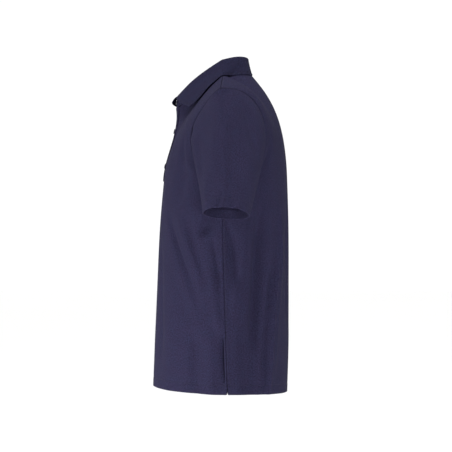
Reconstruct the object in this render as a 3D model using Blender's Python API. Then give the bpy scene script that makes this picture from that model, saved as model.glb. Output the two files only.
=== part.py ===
"""Short-sleeved polo shirt in the hollow form it has when worn.

Metres, +Z up. The front faces -Y and the wearer's left side is +X. The origin lies on the
middle plane between the inner ends of the shoulder seams, where the shoulders carry the shirt.

Every piece is a sheet: a grid of points on the middle of the cloth, thickened to both sides.
Pieces that are sewn together share the line of the seam. There both edges are cut on one
mitre and drawn apart by the seam gap.
"""

from collections import namedtuple
import math

import bmesh
import bpy
from mathutils import Vector
import numpy as np

MM = 0.001
FRONT, BACK = -1, 1             # sign of Y that a body panel faces
LEFT, RIGHT = 1, -1             # sign of X, the wearer's sides

# Cloth
WALL = 1.6 * MM                 # pique knit
BAND_WALL = 2.0 * MM            # collar stand and leaf, two plies
HEM_TURN = 20 * MM              # depth of the turned hems of body and sleeves
HEM_PLY = 1.0 * MM              # what a turned hem adds on the inside
HEM_STEP = 3 * MM               # run over which that ply ends
SEAM_GAP = 0.3 * MM
LAY_GAP = 0.3 * MM              # between a panel and what lies on it

# Levels of the body
CHEST_LEVEL = -0.217            # underarm points
HEM_LEVEL = -0.6785             # hem at the side seams
HemCurve = namedtuple("HemCurve", "middle_rise power")   # power keeps the rise up to the sides
HEM_CURVES = {FRONT: HemCurve(7 * MM, 2.0), BACK: HemCurve(-6 * MM, 1.0)}
VENT_LENGTH = 40 * MM
VENT_OPEN = 3.2 * MM

# Horizontal sections of the body, half superellipses in front of and behind the side seams
Section = namedtuple("Section", "level half_width front_depth back_depth roundness")
SECTIONS = (
    Section(HEM_LEVEL, 0.1980, 0.1548, 0.1382, 2.25),
    Section(-0.560, 0.1990, 0.1500, 0.1408, 2.25),
    Section(-0.430, 0.2005, 0.1446, 0.1413, 2.30),
    Section(-0.320, 0.2040, 0.1392, 0.1408, 2.35),
    Section(CHEST_LEVEL, 0.2080, 0.1303, 0.1378, 2.40),
)

# Half of the neck seam, from the centre front round the left side to the centre back
Point = namedtuple("Point", "x y z")
NECK_FRONT = (
    Point(0.0000, -0.1030, -0.0645),
    Point(0.0200, -0.0945, -0.0590),
    Point(0.0410, -0.0730, -0.0420),
    Point(0.0575, -0.0400, -0.0165),
    Point(0.0660, -0.0020, 0.0060),
)
NECK_BACK = (
    Point(0.0660, -0.0020, 0.0060),
    Point(0.0590, 0.0300, 0.0120),
    Point(0.0350, 0.0490, 0.0135),
    Point(0.0000, 0.0545, 0.0140),
)
SHOULDER = (
    Point(0.0660, -0.0020, 0.0060),
    Point(0.1050, -0.0035, -0.0045),
    Point(0.1600, -0.0055, -0.0185),
    Point(0.2150, -0.0075, -0.0345),
)

# Above the chest the cloth runs in strands from the chest line up to the neck and shoulders.
# lift and reach are how far a strand keeps its first and last direction, as shares of its
# chord; pitch is the rise of its last direction and splay its turn inwards, in degrees.
Strand = namedtuple("Strand", "across lift reach pitch splay")
STRANDS = {
    FRONT: (
        Strand(0.00, 0.95, 1.00, 99.0, 0.0),
        Strand(0.20, 1.10, 1.00, 76.0, 20.0),
        Strand(0.42, 1.30, 0.95, 46.0, 35.0),
        Strand(0.75, 1.50, 1.05, 38.0, 5.0),
        Strand(1.00, 1.50, 0.95, 34.0, 0.0),
    ),
    BACK: (
        Strand(0.00, 1.78, 0.72, 51.0, 0.0),
        Strand(0.20, 1.76, 0.85, 43.0, 20.0),
        Strand(0.36, 1.82, 1.05, 26.0, 40.0),
        Strand(0.75, 1.90, 1.25, 4.0, 5.0),
        Strand(1.00, 1.90, 1.15, 2.0, 0.0),
    ),
}
NECK_SHARE = {FRONT: 0.42, BACK: 0.36}   # share of a half panel's strands that end at the neck

# The armhole line on a body panel, from the underarm to the shoulder tip
Armhole = namedtuple("Armhole", "way across rise")
ARMHOLES = {
    FRONT: (
        Armhole(0.0, 1.000, 0.000),
        Armhole(0.2, 0.845, 0.050),
        Armhole(0.4, 0.735, 0.190),
        Armhole(0.6, 0.712, 0.410),
        Armhole(0.8, 0.825, 0.690),
        Armhole(1.0, 1.000, 1.000),
    ),
    BACK: (
        Armhole(0.0, 1.000, 0.000),
        Armhole(0.2, 0.830, 0.035),
        Armhole(0.4, 0.695, 0.150),
        Armhole(0.6, 0.675, 0.360),
        Armhole(0.8, 0.800, 0.660),
        Armhole(1.0, 1.000, 1.000),
    ),
}

# Largest folds of the body: each runs between two places on one half of a panel. across is 0
# in the middle and 1 at the side seam; a negative depth is a trough.
Fold = namedtuple("Fold", "panel side across_top level_top across_low level_low width depth")
FOLDS = (
    Fold(BACK, LEFT, 0.67, -0.290, 0.79, -0.650, 20 * MM, -5 * MM),
    Fold(BACK, LEFT, 0.43, -0.320, 0.64, -0.720, 16 * MM, 5 * MM),
    Fold(BACK, LEFT, 0.26, -0.280, 0.22, -0.560, 24 * MM, -4 * MM),
    Fold(BACK, LEFT, 0.93, -0.320, 0.86, -0.480, 18 * MM, -3 * MM),
    Fold(FRONT, LEFT, 0.44, -0.260, 0.80, -0.470, 19 * MM, -3.5 * MM),
    Fold(FRONT, LEFT, 0.58, -0.420, 0.76, -0.540, 17 * MM, -3 * MM),
    Fold(FRONT, LEFT, 0.79, -0.540, 0.79, -0.690, 18 * MM, -3 * MM),
    Fold(BACK, RIGHT, 0.62, -0.300, 0.76, -0.620, 21 * MM, -4 * MM),
    Fold(BACK, RIGHT, 0.40, -0.340, 0.58, -0.720, 17 * MM, 5 * MM),
    Fold(BACK, RIGHT, 0.90, -0.300, 0.82, -0.500, 18 * MM, -3 * MM),
    Fold(FRONT, RIGHT, 0.40, -0.280, 0.76, -0.500, 20 * MM, -3.5 * MM),
    Fold(FRONT, RIGHT, 0.74, -0.520, 0.76, -0.690, 18 * MM, -3 * MM),
)
FOLD_TAPER = 0.35               # share of a fold's length over which it starts and ends
FOLD_MARGIN = 0.12              # share of a half panel beside the side seam where folds fade

# Sleeves: the hem line is a ring, wider across than deep, lower on the inside than outside
CUFF_MIDDLE = Point(0.2720, 0.0046, -0.2976)
CUFF_HALF_WIDTH = 0.0530
CUFF_HALF_DEPTH = 0.0483
CUFF_ROUNDNESS = 2.2
CUFF_OUTER_RISE = 12.0 * MM
CUFF_FRONT_RISE = 3.2 * MM
CUFF_BOW = 1.6 * MM             # how far front and back of the hem lie below a flat cut

# How the sleeve's strands leave the armhole, from the shoulder tip (way 0) to the underarm
# (way 1): their direction, with its part along Y in front and behind, and how far they keep
# it and the hem's direction, in metres
SleeveRun = namedtuple("SleeveRun", "way out ahead behind up keep_start keep_end")
SLEEVE_RUNS = (
    SleeveRun(0.00, 0.96, 0.00, 0.00, -0.28, 0.110, 0.130),
    SleeveRun(0.30, 0.98, -0.02, 0.08, -0.20, 0.110, 0.110),
    SleeveRun(0.55, 0.97, -0.04, 0.26, -0.24, 0.105, 0.090),
    SleeveRun(0.80, 0.86, 0.00, 0.26, -0.50, 0.060, 0.070),
    SleeveRun(1.00, 0.78, 0.00, 0.00, -0.62, 0.030, 0.045),
)
SLEEVE_HANG = Point(0.22, 0.0, -0.975)   # direction of the cloth at the sleeve hem
SLEEVE_SWEEP = -0.26            # what its back adds to that along Y

# Upper edge of the collar stand, from the centre front round the left side to the centre back
STAND_FRONT = (
    Point(0.0000, -0.0990, -0.0425),
    Point(0.0200, -0.0910, -0.0350),
    Point(0.0400, -0.0715, -0.0155),
    Point(0.0545, -0.0360, 0.0120),
    Point(0.0610, -0.0030, 0.0332),
)
STAND_BACK = (
    Point(0.0610, -0.0030, 0.0332),
    Point(0.0545, 0.0260, 0.0398),
    Point(0.0330, 0.0435, 0.0407),
    Point(0.0000, 0.0485, 0.0400),
)
STAND_LAP = 1.15 * MM           # each lapped end of the stand against its middle line
STAND_LAP_RUN = 0.35            # share of the front neck over which the lap opens

# The collar leaf rolls over the stand's edge and lies on the panels. Its lower edge is read
# from panel points, moved out by stand_off; station is 0 at the collar point, 1 at the
# shoulder seam and 2 at the centre back. hang is how far down the leaf keeps the direction of
# the roll and bulge how far its middle swells out there, as shares of its width.
ROLL_RADIUS = 2.5 * MM
ROLL_START = 1.0 * MM
LEAF_HALF_GAP = 10 * MM         # from the middle to each front end of the leaf
LEAF_SPRING_FORWARD = 12 * MM   # how far the right leaf's front end springs off the stand
LEAF_SPRING_DOWN = 10 * MM
LEAF_SPRING_RUN = 0.45          # share of the front neck over which it does
LeafEdge = namedtuple("LeafEdge", "station across rise stand_off hang bulge")
LEAF_EDGE = {
    FRONT: (
        LeafEdge(0.00, 0.333, 0.664, 9.3 * MM, 0.15, 0.10),
        LeafEdge(0.25, 0.394, 0.699, 6.5 * MM, 0.30, 0.10),
        LeafEdge(0.50, 0.451, 0.783, 6.1 * MM, 0.40, 0.10),
        LeafEdge(0.75, 0.485, 0.890, 5.5 * MM, 0.45, 0.10),
        LeafEdge(1.00, 0.510, 0.989, 3.6 * MM, 0.45, 0.10),
    ),
    BACK: (
        LeafEdge(1.00, 0.456, 0.990, 3.6 * MM, 0.45, 0.10),
        LeafEdge(1.17, 0.419, 0.968, 6.0 * MM, 0.45, 0.08),
        LeafEdge(1.33, 0.282, 0.972, 6.0 * MM, 0.50, 0.02),
        LeafEdge(1.50, 0.226, 0.955, 4.0 * MM, 0.50, 0.00),
        LeafEdge(1.66, 0.173, 0.947, 3.6 * MM, 0.50, -0.02),
        LeafEdge(2.00, 0.000, 0.950, 3.9 * MM, 0.50, -0.04),
    ),
}

# Placket and buttons
CUT_HALF_WIDTH = 12.0 * MM      # the front panel's cut under the placket
PLACKET_HALF_WIDTH = 15.5 * MM
PLACKET_FOOT = 8.0 * MM         # the placket's end below the cut
PLACKET_LAYERS = (("placket_upper", 1, 0.8 * MM), ("placket_under", -1, 3.0 * MM))
BUTTON_RADIUS = 5.5 * MM
BUTTON_THICKNESS = 2.1 * MM
Turning = namedtuple("Turning", "radius height")   # shares of the button's radius and thickness
BUTTON_PROFILE = (
    Turning(0.00, 0.00),
    Turning(0.82, 0.00),
    Turning(1.00, 0.40),
    Turning(0.96, 0.85),
    Turning(0.82, 1.00),
    Turning(0.66, 0.72),
    Turning(0.00, 0.66),
)
BUTTON_LEVELS = (("button_middle", -0.117), ("button_low", -0.190))
TOP_BUTTON_HEIGHT = 0.60        # share of the stand's height

# Grid counts
NECK_STEPS = 6                  # columns of a half panel that end at the neck
SHOULDER_STEPS = 7              # columns that end at the shoulder seam
ARM_STEPS = 12                  # rows from the underarm to the shoulder
BODY_STEPS = 13                 # rows from the hem fold to the placket's foot
SLEEVE_STEPS = 10               # rows of a sleeve above its hem
STAND_STEPS = 2
STAND_LAP_COLUMNS = 4           # the stand's columns before its seam with the panels
ROLL_STEPS = 4
LEAF_STEPS = 4
BUTTON_SIDES = 18
FINE_STEPS = 300                # for measuring lengths along curves
STRIP_TRIES = 4                 # for finding a line at one distance from the middle
PROBE = 0.01                    # share of a panel between places that give a slope
CHEST_RUN = 2 * MM              # run below the chest line that gives the strands' first direction
TIE_START = 0.2                 # share across a panel from which its rows follow the armhole
PLACE_GRID = 0.02 * MM          # points closer than this are one place of a seam
MITRE_LEAST = 0.25              # weaker directions of a seam's normals are left out
WELD = 0.001 * MM

CLOTH_ROUGHNESS = 0.85
BUTTON_ROUGHNESS = 0.25
SMOOTH_ANGLE = math.radians(50)
NAVY = (0.0265, 0.0250, 0.0560, 1.0)
NAVY_BUTTON = (0.0120, 0.0110, 0.0250, 1.0)


def unit(vectors):
    """The vectors at length 1."""
    return vectors / np.linalg.norm(vectors, axis=-1, keepdims=True)


def ease(share):
    """A soft step from 0 to 1."""
    share = np.clip(share, 0.0, 1.0)
    return share * share * (3.0 - 2.0 * share)


def hermite(start, leave, end, arrive, s):
    """A curve between two points with given directions there, at shares s of its way."""
    return (
        (2 * s ** 3 - 3 * s ** 2 + 1) * start
        + (s ** 3 - 2 * s ** 2 + s) * leave
        + (3 * s ** 2 - 2 * s ** 3) * end
        + (s ** 3 - s ** 2) * arrive
    )


def spline(keys, values, at):
    """A natural cubic spline through rows of values at rising keys, read at many places."""
    keys = np.asarray(keys, float)
    values = np.asarray(values, float)
    at = np.asarray(at, float)
    steps = np.diff(keys)
    system = np.eye(len(keys))
    pull = np.zeros_like(values)
    for i in range(1, len(keys) - 1):
        system[i, i - 1:i + 2] = steps[i - 1], 2 * (steps[i - 1] + steps[i]), steps[i]
        slopes = (values[i + 1] - values[i]) / steps[i] - (values[i] - values[i - 1]) / steps[i - 1]
        pull[i] = 6 * slopes
    bend = np.linalg.solve(system, pull)
    span = np.clip(np.searchsorted(keys, at, side="right") - 1, 0, len(keys) - 2)
    far = ((at - keys[span]) / steps[span])[..., None]
    near = 1.0 - far
    curve = (near ** 3 - near) * bend[span] + (far ** 3 - far) * bend[span + 1]
    return near * values[span] + far * values[span + 1] + curve * steps[span][..., None] ** 2 / 6


def read_table(table, at):
    """Reads a table's further columns at values of its first column, as separate arrays."""
    rows = np.array(table)
    order = np.argsort(rows[:, 0])
    found = spline(rows[order, 0], rows[order, 1:], at)
    return [found[..., i] for i in range(found.shape[-1])]


def along(points, share):
    """Points at shares of the length of a smooth line. It crosses the middle plane squarely."""
    rows = np.array(points)
    flip = np.array((-1.0, 1.0, 1.0))
    first = 0
    if points[0].x == 0.0:
        rows = np.vstack((rows[2:0:-1] * flip, rows))
        first = 2
    last = first + len(points) - 1
    if points[-1].x == 0.0:
        rows = np.vstack((rows, rows[-2:-4:-1] * flip))
    keys = np.concatenate(([0.0], np.cumsum(np.linalg.norm(np.diff(rows, axis=0), axis=1))))
    fine = np.linspace(keys[first], keys[last], FINE_STEPS)
    line = spline(keys, rows, fine)
    run = np.concatenate(([0.0], np.cumsum(np.linalg.norm(np.diff(line, axis=0), axis=1))))
    return spline(keys, rows, np.interp(np.asarray(share) * run[-1], run, fine))


def section_angles(panel, across):
    """Angles round a section that share out the length of the chest line evenly."""
    chest = SECTIONS[-1]
    depth = chest.front_depth if panel == FRONT else chest.back_depth
    angles = np.linspace(0.0, math.pi / 2, FINE_STEPS)
    x = chest.half_width * np.sin(angles) ** (2 / chest.roundness)
    y = depth * np.cos(angles) ** (2 / chest.roundness)
    run = np.concatenate(([0.0], np.cumsum(np.hypot(np.diff(x), np.diff(y)))))
    return np.interp(across, run / run[-1], angles)


def body_point(panel, across, level):
    """The left half of the hanging body: across 0 is the middle, 1 the side seam."""
    half_width, front_depth, back_depth, roundness = read_table(SECTIONS, level)
    depth = front_depth if panel == FRONT else back_depth
    angle = section_angles(panel, across)
    drop = (CHEST_LEVEL - level) / (CHEST_LEVEL - HEM_LEVEL)
    hem = HEM_CURVES[panel]
    rise = hem.middle_rise * drop * (1.0 - ease(across ** hem.power))
    x = half_width * np.sin(angle) ** (2 / roundness)
    y = panel * depth * np.cos(angle) ** (2 / roundness)
    return np.stack((x, y, level + rise), axis=-1)


def top_line(panel, across):
    """Upper edge of the left half of a panel: half the neck seam, then the shoulder seam."""
    share = NECK_SHARE[panel]
    way = np.clip(across / share, 0, 1)
    neck = along(NECK_FRONT, way) if panel == FRONT else along(NECK_BACK, 1 - way)
    shoulder = along(SHOULDER, np.clip((across - share) / (1 - share), 0, 1))
    return np.where((across < share)[..., None], neck, shoulder)


def upper_point(panel, across, rise):
    """The left half above the chest: rise 0 is the chest line, 1 the neck or shoulder seam."""
    foot = body_point(panel, across, np.full_like(across, CHEST_LEVEL))
    below = body_point(panel, across, np.full_like(across, CHEST_LEVEL - CHEST_RUN))
    top = top_line(panel, across)
    chord = np.linalg.norm(top - foot, axis=-1, keepdims=True)
    lift, reach, pitch, splay = read_table(STRANDS[panel], across)
    pitch, splay = np.radians(pitch), np.radians(splay)
    level = np.cos(pitch)
    last = np.stack((-level * np.sin(splay), -panel * level * np.cos(splay), np.sin(pitch)), axis=-1)
    start = unit(foot - below) * lift[..., None] * chord
    end = last * reach[..., None] * chord
    return hermite(foot, start, top, end, rise[..., None])


def panel_columns(panel):
    """Where a half panel's columns stand: neck columns first, then shoulder columns.

    In front the first two run beside the cut and under the placket's edge.
    """
    share = NECK_SHARE[panel]
    if panel == FRONT:
        cut, edge = np.array((CUT_HALF_WIDTH, PLACKET_HALF_WIDTH)) / panel_girth(panel)
        neck = np.concatenate(([cut], np.linspace(edge, share, NECK_STEPS)))
    else:
        neck = np.linspace(0.0, share, NECK_STEPS + 1)
    return np.concatenate((neck, np.linspace(share, 1.0, SHOULDER_STEPS + 1)[1:]))


def panel_girth(panel):
    """Length of the chest line from the middle of a panel to its side seam."""
    share = np.linspace(0.0, 1.0, FINE_STEPS)
    line = body_point(panel, share, np.full_like(share, CHEST_LEVEL))
    return np.linalg.norm(np.diff(line, axis=0), axis=1).sum()


def strip_line(distance):
    """Points of the left front, from the hem to the neck, at one distance from the middle."""
    low_levels = body_levels()
    rises = np.arange(1, ARM_STEPS + 1) / ARM_STEPS
    low_across = np.full_like(low_levels, distance / panel_girth(FRONT))
    high_across = np.full_like(rises, distance / panel_girth(FRONT))
    for _ in range(STRIP_TRIES):
        low = body_point(FRONT, low_across, low_levels)
        high = upper_point(FRONT, high_across, rises)
        if distance:
            low_across *= distance / low[:, 0]
            high_across *= distance / high[:, 0]
    return np.concatenate((low, high))


def body_levels():
    """Levels of the rows from the hem to the chest line."""
    foot = CHEST_LEVEL - PLACKET_FOOT
    plain = np.linspace(HEM_LEVEL + HEM_TURN + HEM_STEP, foot, BODY_STEPS + 1)
    return np.concatenate(((HEM_LEVEL, HEM_LEVEL + HEM_TURN), plain, (CHEST_LEVEL,)))


def fold_depth(panel, side, across, level):
    """How far the largest folds move the cloth out, away from the seams and the placket."""
    depth = np.zeros_like(across)
    girth = panel_girth(panel)
    for fold in FOLDS:
        if (fold.panel, fold.side) != (panel, side):
            continue
        way = (fold.level_top - level) / (fold.level_top - fold.level_low)
        middle = fold.across_top + (fold.across_low - fold.across_top) * way
        reach = ease(way / FOLD_TAPER) * ease((1.0 - way) / FOLD_TAPER)
        depth += fold.depth * reach * np.exp(-((across - middle) * girth / fold.width) ** 2)
    return depth * ease((1.0 - across) / FOLD_MARGIN)


def half_panel(panel, side, columns):
    """Points of one half of a panel, from the hem up to the neck and shoulder."""
    levels = body_levels()
    across = np.repeat(columns[None], len(levels), axis=0)
    level = np.repeat(levels[:, None], len(columns), axis=1)
    low = body_point(panel, across, level)
    aside = body_point(panel, np.clip(across + PROBE, 0, 1), level)
    aside -= body_point(panel, np.clip(across - PROBE, 0, 1), level)
    outward = unit(np.cross(aside, (0.0, 0.0, 1.0)) * -panel)
    low = low + outward * fold_depth(panel, side, across, level)[..., None]

    way = np.arange(1, ARM_STEPS + 1) / ARM_STEPS
    edge_across, edge_rise = (value[:, None] for value in read_table(ARMHOLES[panel], way))
    share = NECK_SHARE[panel]
    squeezed = share + (columns - share) * (edge_across - share) / (1.0 - share)
    across = np.where(columns <= share, columns, squeezed)
    tie = ease((columns - TIE_START) / (1.0 - TIE_START))
    rise = way[:, None] * (1.0 - tie) + edge_rise * tie
    high = upper_point(panel, across, rise)
    points = np.concatenate((low, high), axis=0)
    if panel == FRONT:
        points[:, 0] = strip_line(CUT_HALF_WIDTH)
        points[:, 1] = strip_line(PLACKET_HALF_WIDTH)
    return points * (side, 1.0, 1.0)


def grid_normals(points, closed):
    """Normals of a grid's points, from the faces that meet there."""
    ahead = np.roll(points, -1, axis=1) if closed else points[:, 1:]
    here = points if closed else points[:, :-1]
    face = np.cross(ahead[1:] - here[:-1], here[1:] - ahead[:-1])
    normals = np.zeros_like(points)
    width = face.shape[1]
    for row in (0, 1):
        for column in (0, 1):
            part = np.zeros_like(points)
            if closed:
                part[row:row + face.shape[0]] = np.roll(face, column, axis=1)
            else:
                part[row:row + face.shape[0], column:column + width] = face
            normals += part
    return unit(normals)


class Sheet:
    """A piece of cloth: points on its middle, and how far its two faces lie from them."""

    def __init__(self, name, points, wall=WALL, closed=False, turned=False):
        self.name = name
        self.points = points
        self.closed = closed
        self.turned = turned
        self.normals = grid_normals(points, closed) * (-1.0 if turned else 1.0)
        self.lean = self.normals.copy()
        self.shift = np.zeros_like(points)
        self.outer = np.full(points.shape[:2], wall / 2)
        self.inner = np.full(points.shape[:2], wall / 2)
        faces = (points.shape[0] - 1, points.shape[1] - (0 if closed else 1))
        self.kept = np.ones(faces, bool)

    def quads(self):
        """The kept faces as four (row, column) corners, seen from the piece's outer side."""
        columns = self.points.shape[1]
        for row, column in zip(*np.nonzero(self.kept)):
            after = (column + 1) % columns
            quad = [(row, column), (row, after), (row + 1, after), (row + 1, column)]
            yield quad[::-1] if self.turned else quad

    def solid(self):
        """The piece as one closed mesh: two faces and the edges between them."""
        body = bmesh.new()
        middle = self.points + self.shift
        sides = []
        for thickness in (self.outer, -self.inner):
            places = middle + self.lean * thickness[..., None]
            sides.append({})
            for quad in self.quads():
                for corner in quad:
                    if corner not in sides[-1]:
                        sides[-1][corner] = body.verts.new(places[corner])
        outer, inner = sides
        rims = {}
        for quad in self.quads():
            body.faces.new([outer[corner] for corner in quad])
            body.faces.new([inner[corner] for corner in reversed(quad)])
            for start, end in zip(quad, quad[1:] + quad[:1]):
                if (end, start) in rims:
                    del rims[(end, start)]
                else:
                    rims[(start, end)] = True
        for start, end in rims:
            # Edges that face each other across a seam share the line of their diagonals
            if self.points[start][2] < self.points[end][2]:
                body.faces.new((outer[end], outer[start], inner[end]))
                body.faces.new((outer[start], inner[start], inner[end]))
            else:
                body.faces.new((outer[end], outer[start], inner[start]))
                body.faces.new((outer[end], inner[start], inner[end]))
        mesh = bpy.data.meshes.new(self.name)
        body.to_mesh(mesh)
        body.free()
        return mesh


Edge = namedtuple("Edge", "sheet cells inward")


def row_edge(sheet, row, columns=None):
    """A sheet's edge along one of its end rows."""
    columns = range(sheet.points.shape[1]) if columns is None else columns
    last = sheet.points.shape[0] - 1
    row = row % (last + 1)
    return Edge(sheet, [(row, column) for column in columns], (1 if row == 0 else -1, 0))


def column_edge(sheet, column, rows):
    """A sheet's edge along one of its end columns."""
    last = sheet.points.shape[1] - 1
    column = column % (last + 1)
    return Edge(sheet, [(row, column) for row in rows], (0, 1 if column == 0 else -1))


def place_key(point):
    """A name for a place that all the pieces meeting there share."""
    return tuple(np.round(point / PLACE_GRID).astype(int))


def sew(seams):
    """Cuts the edges that meet in each seam on one mitre and draws them apart."""
    meeting = {}
    for seam in seams:
        for edge in seam:
            for cell in edge.cells:
                found = meeting.setdefault(place_key(edge.sheet.points[cell]), {})
                found[(edge.sheet.name, cell)] = edge.sheet.normals[cell]
    for first, second in seams:
        line = np.array([first.sheet.points[cell] for cell in first.cells])
        runs = np.gradient(line, axis=0)
        for run, cell, other in zip(runs, first.cells, second.cells):
            normals = np.array(list(meeting[place_key(first.sheet.points[cell])].values()))
            mitre = np.linalg.pinv(normals, rcond=MITRE_LEAST) @ np.ones(len(normals))
            first_inside = first.sheet.points[cell[0] + first.inward[0], cell[1] + first.inward[1]]
            second_inside = second.sheet.points[
                other[0] + second.inward[0], other[1] + second.inward[1]
            ]
            apart = unit(np.cross(run, mitre))
            if apart @ (second_inside - first_inside) < 0:
                apart = -apart
            first.sheet.lean[cell] = mitre
            second.sheet.lean[other] = mitre
            first.sheet.shift[cell] -= apart * SEAM_GAP / 2
            second.sheet.shift[other] += apart * SEAM_GAP / 2


def body_panel(panel):
    """Front or back panel with hem, vents and, in front, the cut under the placket."""
    columns = panel_columns(panel)
    left = half_panel(panel, LEFT, columns)
    right = half_panel(panel, RIGHT, columns)
    if panel == FRONT:
        points = np.concatenate((right[:, ::-1], left), axis=1)
    else:
        points = np.concatenate((left[:, ::-1], right[:, 1:]), axis=1)
    sheet = Sheet("front" if panel == FRONT else "back", points)
    sheet.inner[:2] += HEM_PLY
    if panel == FRONT:
        middle = points.shape[1] // 2 - 1
        sheet.kept[len(body_levels()) - 1:, middle] = False
    for column in (0, -1):
        inside = 1 if column == 0 else -2
        for row, level in enumerate(body_levels()):
            opened = (HEM_LEVEL + VENT_LENGTH - level) / VENT_LENGTH
            if opened > 0:
                pull = unit(points[row, inside] - points[row, column])
                sheet.shift[row, column] += pull * VENT_OPEN / 2 * opened
    return sheet


def cuff_point(side, turn):
    """A point of the sleeve hem, turn going from the outside by the front and round."""
    angle = turn * 2 * math.pi
    out = np.sign(np.cos(angle)) * np.abs(np.cos(angle)) ** (2 / CUFF_ROUNDNESS)
    fore = np.sign(np.sin(angle)) * np.abs(np.sin(angle)) ** (2 / CUFF_ROUNDNESS)
    x = CUFF_MIDDLE.x + CUFF_HALF_WIDTH * out
    y = CUFF_MIDDLE.y - CUFF_HALF_DEPTH * fore
    rise = CUFF_OUTER_RISE * np.cos(angle) + CUFF_FRONT_RISE * np.sin(angle)
    z = CUFF_MIDDLE.z + rise + CUFF_BOW * np.cos(2 * angle)
    return np.stack((x * side, y, z), axis=-1)


def armhole_ring(side, front, back):
    """The armhole's points on the panels, from the shoulder tip by the front and round."""
    first = len(body_levels()) - 1
    front_column, back_column = (-1, 0) if side == LEFT else (0, -1)
    down = front.points[first:, front_column][::-1]
    up = back.points[first:, back_column]
    return np.concatenate((down, up[1:-1]), axis=0)


def sleeve(side, front, back):
    """A short sleeve: strands from the armhole to the hem, round the whole ring."""
    ring = armhole_ring(side, front, back)
    half = ARM_STEPS
    gaps = np.linalg.norm(np.roll(ring, -1, axis=0) - ring, axis=1)
    run = np.concatenate(([0.0], np.cumsum(gaps)))
    way = np.empty(2 * half)
    way[:half + 1] = run[:half + 1] / run[half]
    way[half + 1:] = 1.0 - (run[half + 1:2 * half] - run[half]) / (run[2 * half] - run[half])
    facing = np.where(np.arange(2 * half) <= half, FRONT, BACK)
    turn = np.where(facing == FRONT, way / 2, 1.0 - way / 2)
    out, ahead, behind, up, keep_start, keep_end = read_table(SLEEVE_RUNS, way)
    fore = np.where(facing == FRONT, ahead, behind)
    leave = unit(np.stack((out * side, fore, up), axis=-1)) * keep_start[:, None]
    sweep = np.where(facing == FRONT, 0.0, SLEEVE_SWEEP * np.sin(math.pi * way))
    arrive = np.array(SLEEVE_HANG) * (side, 1, 1) + sweep[:, None] * (0.0, 1.0, 0.0)
    arrive = unit(arrive) * keep_end[:, None]
    end = cuff_point(side, turn)
    length = np.linalg.norm(end - ring, axis=1)[:, None]
    hem_start = 1.0 - HEM_TURN / length
    plain = np.linspace(0.0, 1.0, SLEEVE_STEPS + 1)[:, None, None] * (hem_start - HEM_STEP / length)
    s = np.concatenate((plain, hem_start[None], np.ones_like(hem_start)[None]))
    points = hermite(ring, leave, end, arrive, s)
    name = "sleeve_left" if side == LEFT else "sleeve_right"
    sheet = Sheet(name, points, closed=True, turned=side == RIGHT)
    sheet.inner[-2:] += HEM_PLY
    return sheet


def neck_station(distance):
    """The front neck's station at a distance from the middle."""
    stations = np.linspace(0.0, 1.0, FINE_STEPS)
    return np.interp(distance, along(NECK_FRONT, stations)[:, 0], stations)


def collar_stations():
    """Neck stations of the left side, 0 at the centre front, 1 at the shoulder, 2 behind."""
    front = panel_columns(FRONT)[:NECK_STEPS + 1] / NECK_SHARE[FRONT]
    back = 2.0 - panel_columns(BACK)[:NECK_STEPS] / NECK_SHARE[BACK]
    front[:2] = neck_station(CUT_HALF_WIDTH), neck_station(PLACKET_HALF_WIDTH)
    return np.concatenate((front, back[::-1]))


def ring_point(front_line, back_line, stations, sides):
    """Points of a collar line at stations 0 to 2 of the left and right side."""
    ahead = along(front_line, np.clip(stations, 0.0, 1.0))
    behind = along(back_line, np.clip(stations - 1.0, 0.0, 1.0))
    points = np.where((stations <= 1.0)[..., None], ahead, behind)
    points[:, 0] *= sides
    return points


def stand_sheet(front, back):
    """The collar stand, from its left end over the lap, round the neck, to its right end."""
    stations = collar_stations()
    leaf_end = neck_station(LEAF_HALF_GAP)
    lap = np.array((stations[0], leaf_end, 0.0, leaf_end))
    walk = np.concatenate((lap, stations, stations[-2::-1], lap[::-1]))
    sides = np.where(np.arange(len(walk)) < len(lap) + len(stations), LEFT, RIGHT)
    sides[:2] = RIGHT
    sides[-2:] = LEFT
    middle = front.points.shape[1] // 2
    panel_tops = (
        front.points[-1, middle:middle + NECK_STEPS + 1],
        back.points[-1, SHOULDER_STEPS + 1:-SHOULDER_STEPS],
        front.points[-1, middle - NECK_STEPS:middle],
    )
    low = ring_point(NECK_FRONT, NECK_BACK, walk, sides)
    low[STAND_LAP_COLUMNS:-STAND_LAP_COLUMNS] = np.concatenate(panel_tops)
    high = ring_point(STAND_FRONT, STAND_BACK, walk, sides)
    rows = np.linspace(0.0, 1.0, STAND_STEPS + 1)[:, None, None]
    sheet = Sheet("collar_stand", low * (1 - rows) + high * rows, wall=BAND_WALL)
    opened = 1.0 - ease(walk / STAND_LAP_RUN)
    outward = np.where(np.arange(len(walk)) < len(walk) / 2, STAND_LAP, -STAND_LAP)
    sheet.shift += sheet.normals * (outward * opened)[None, :, None]
    return sheet


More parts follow.
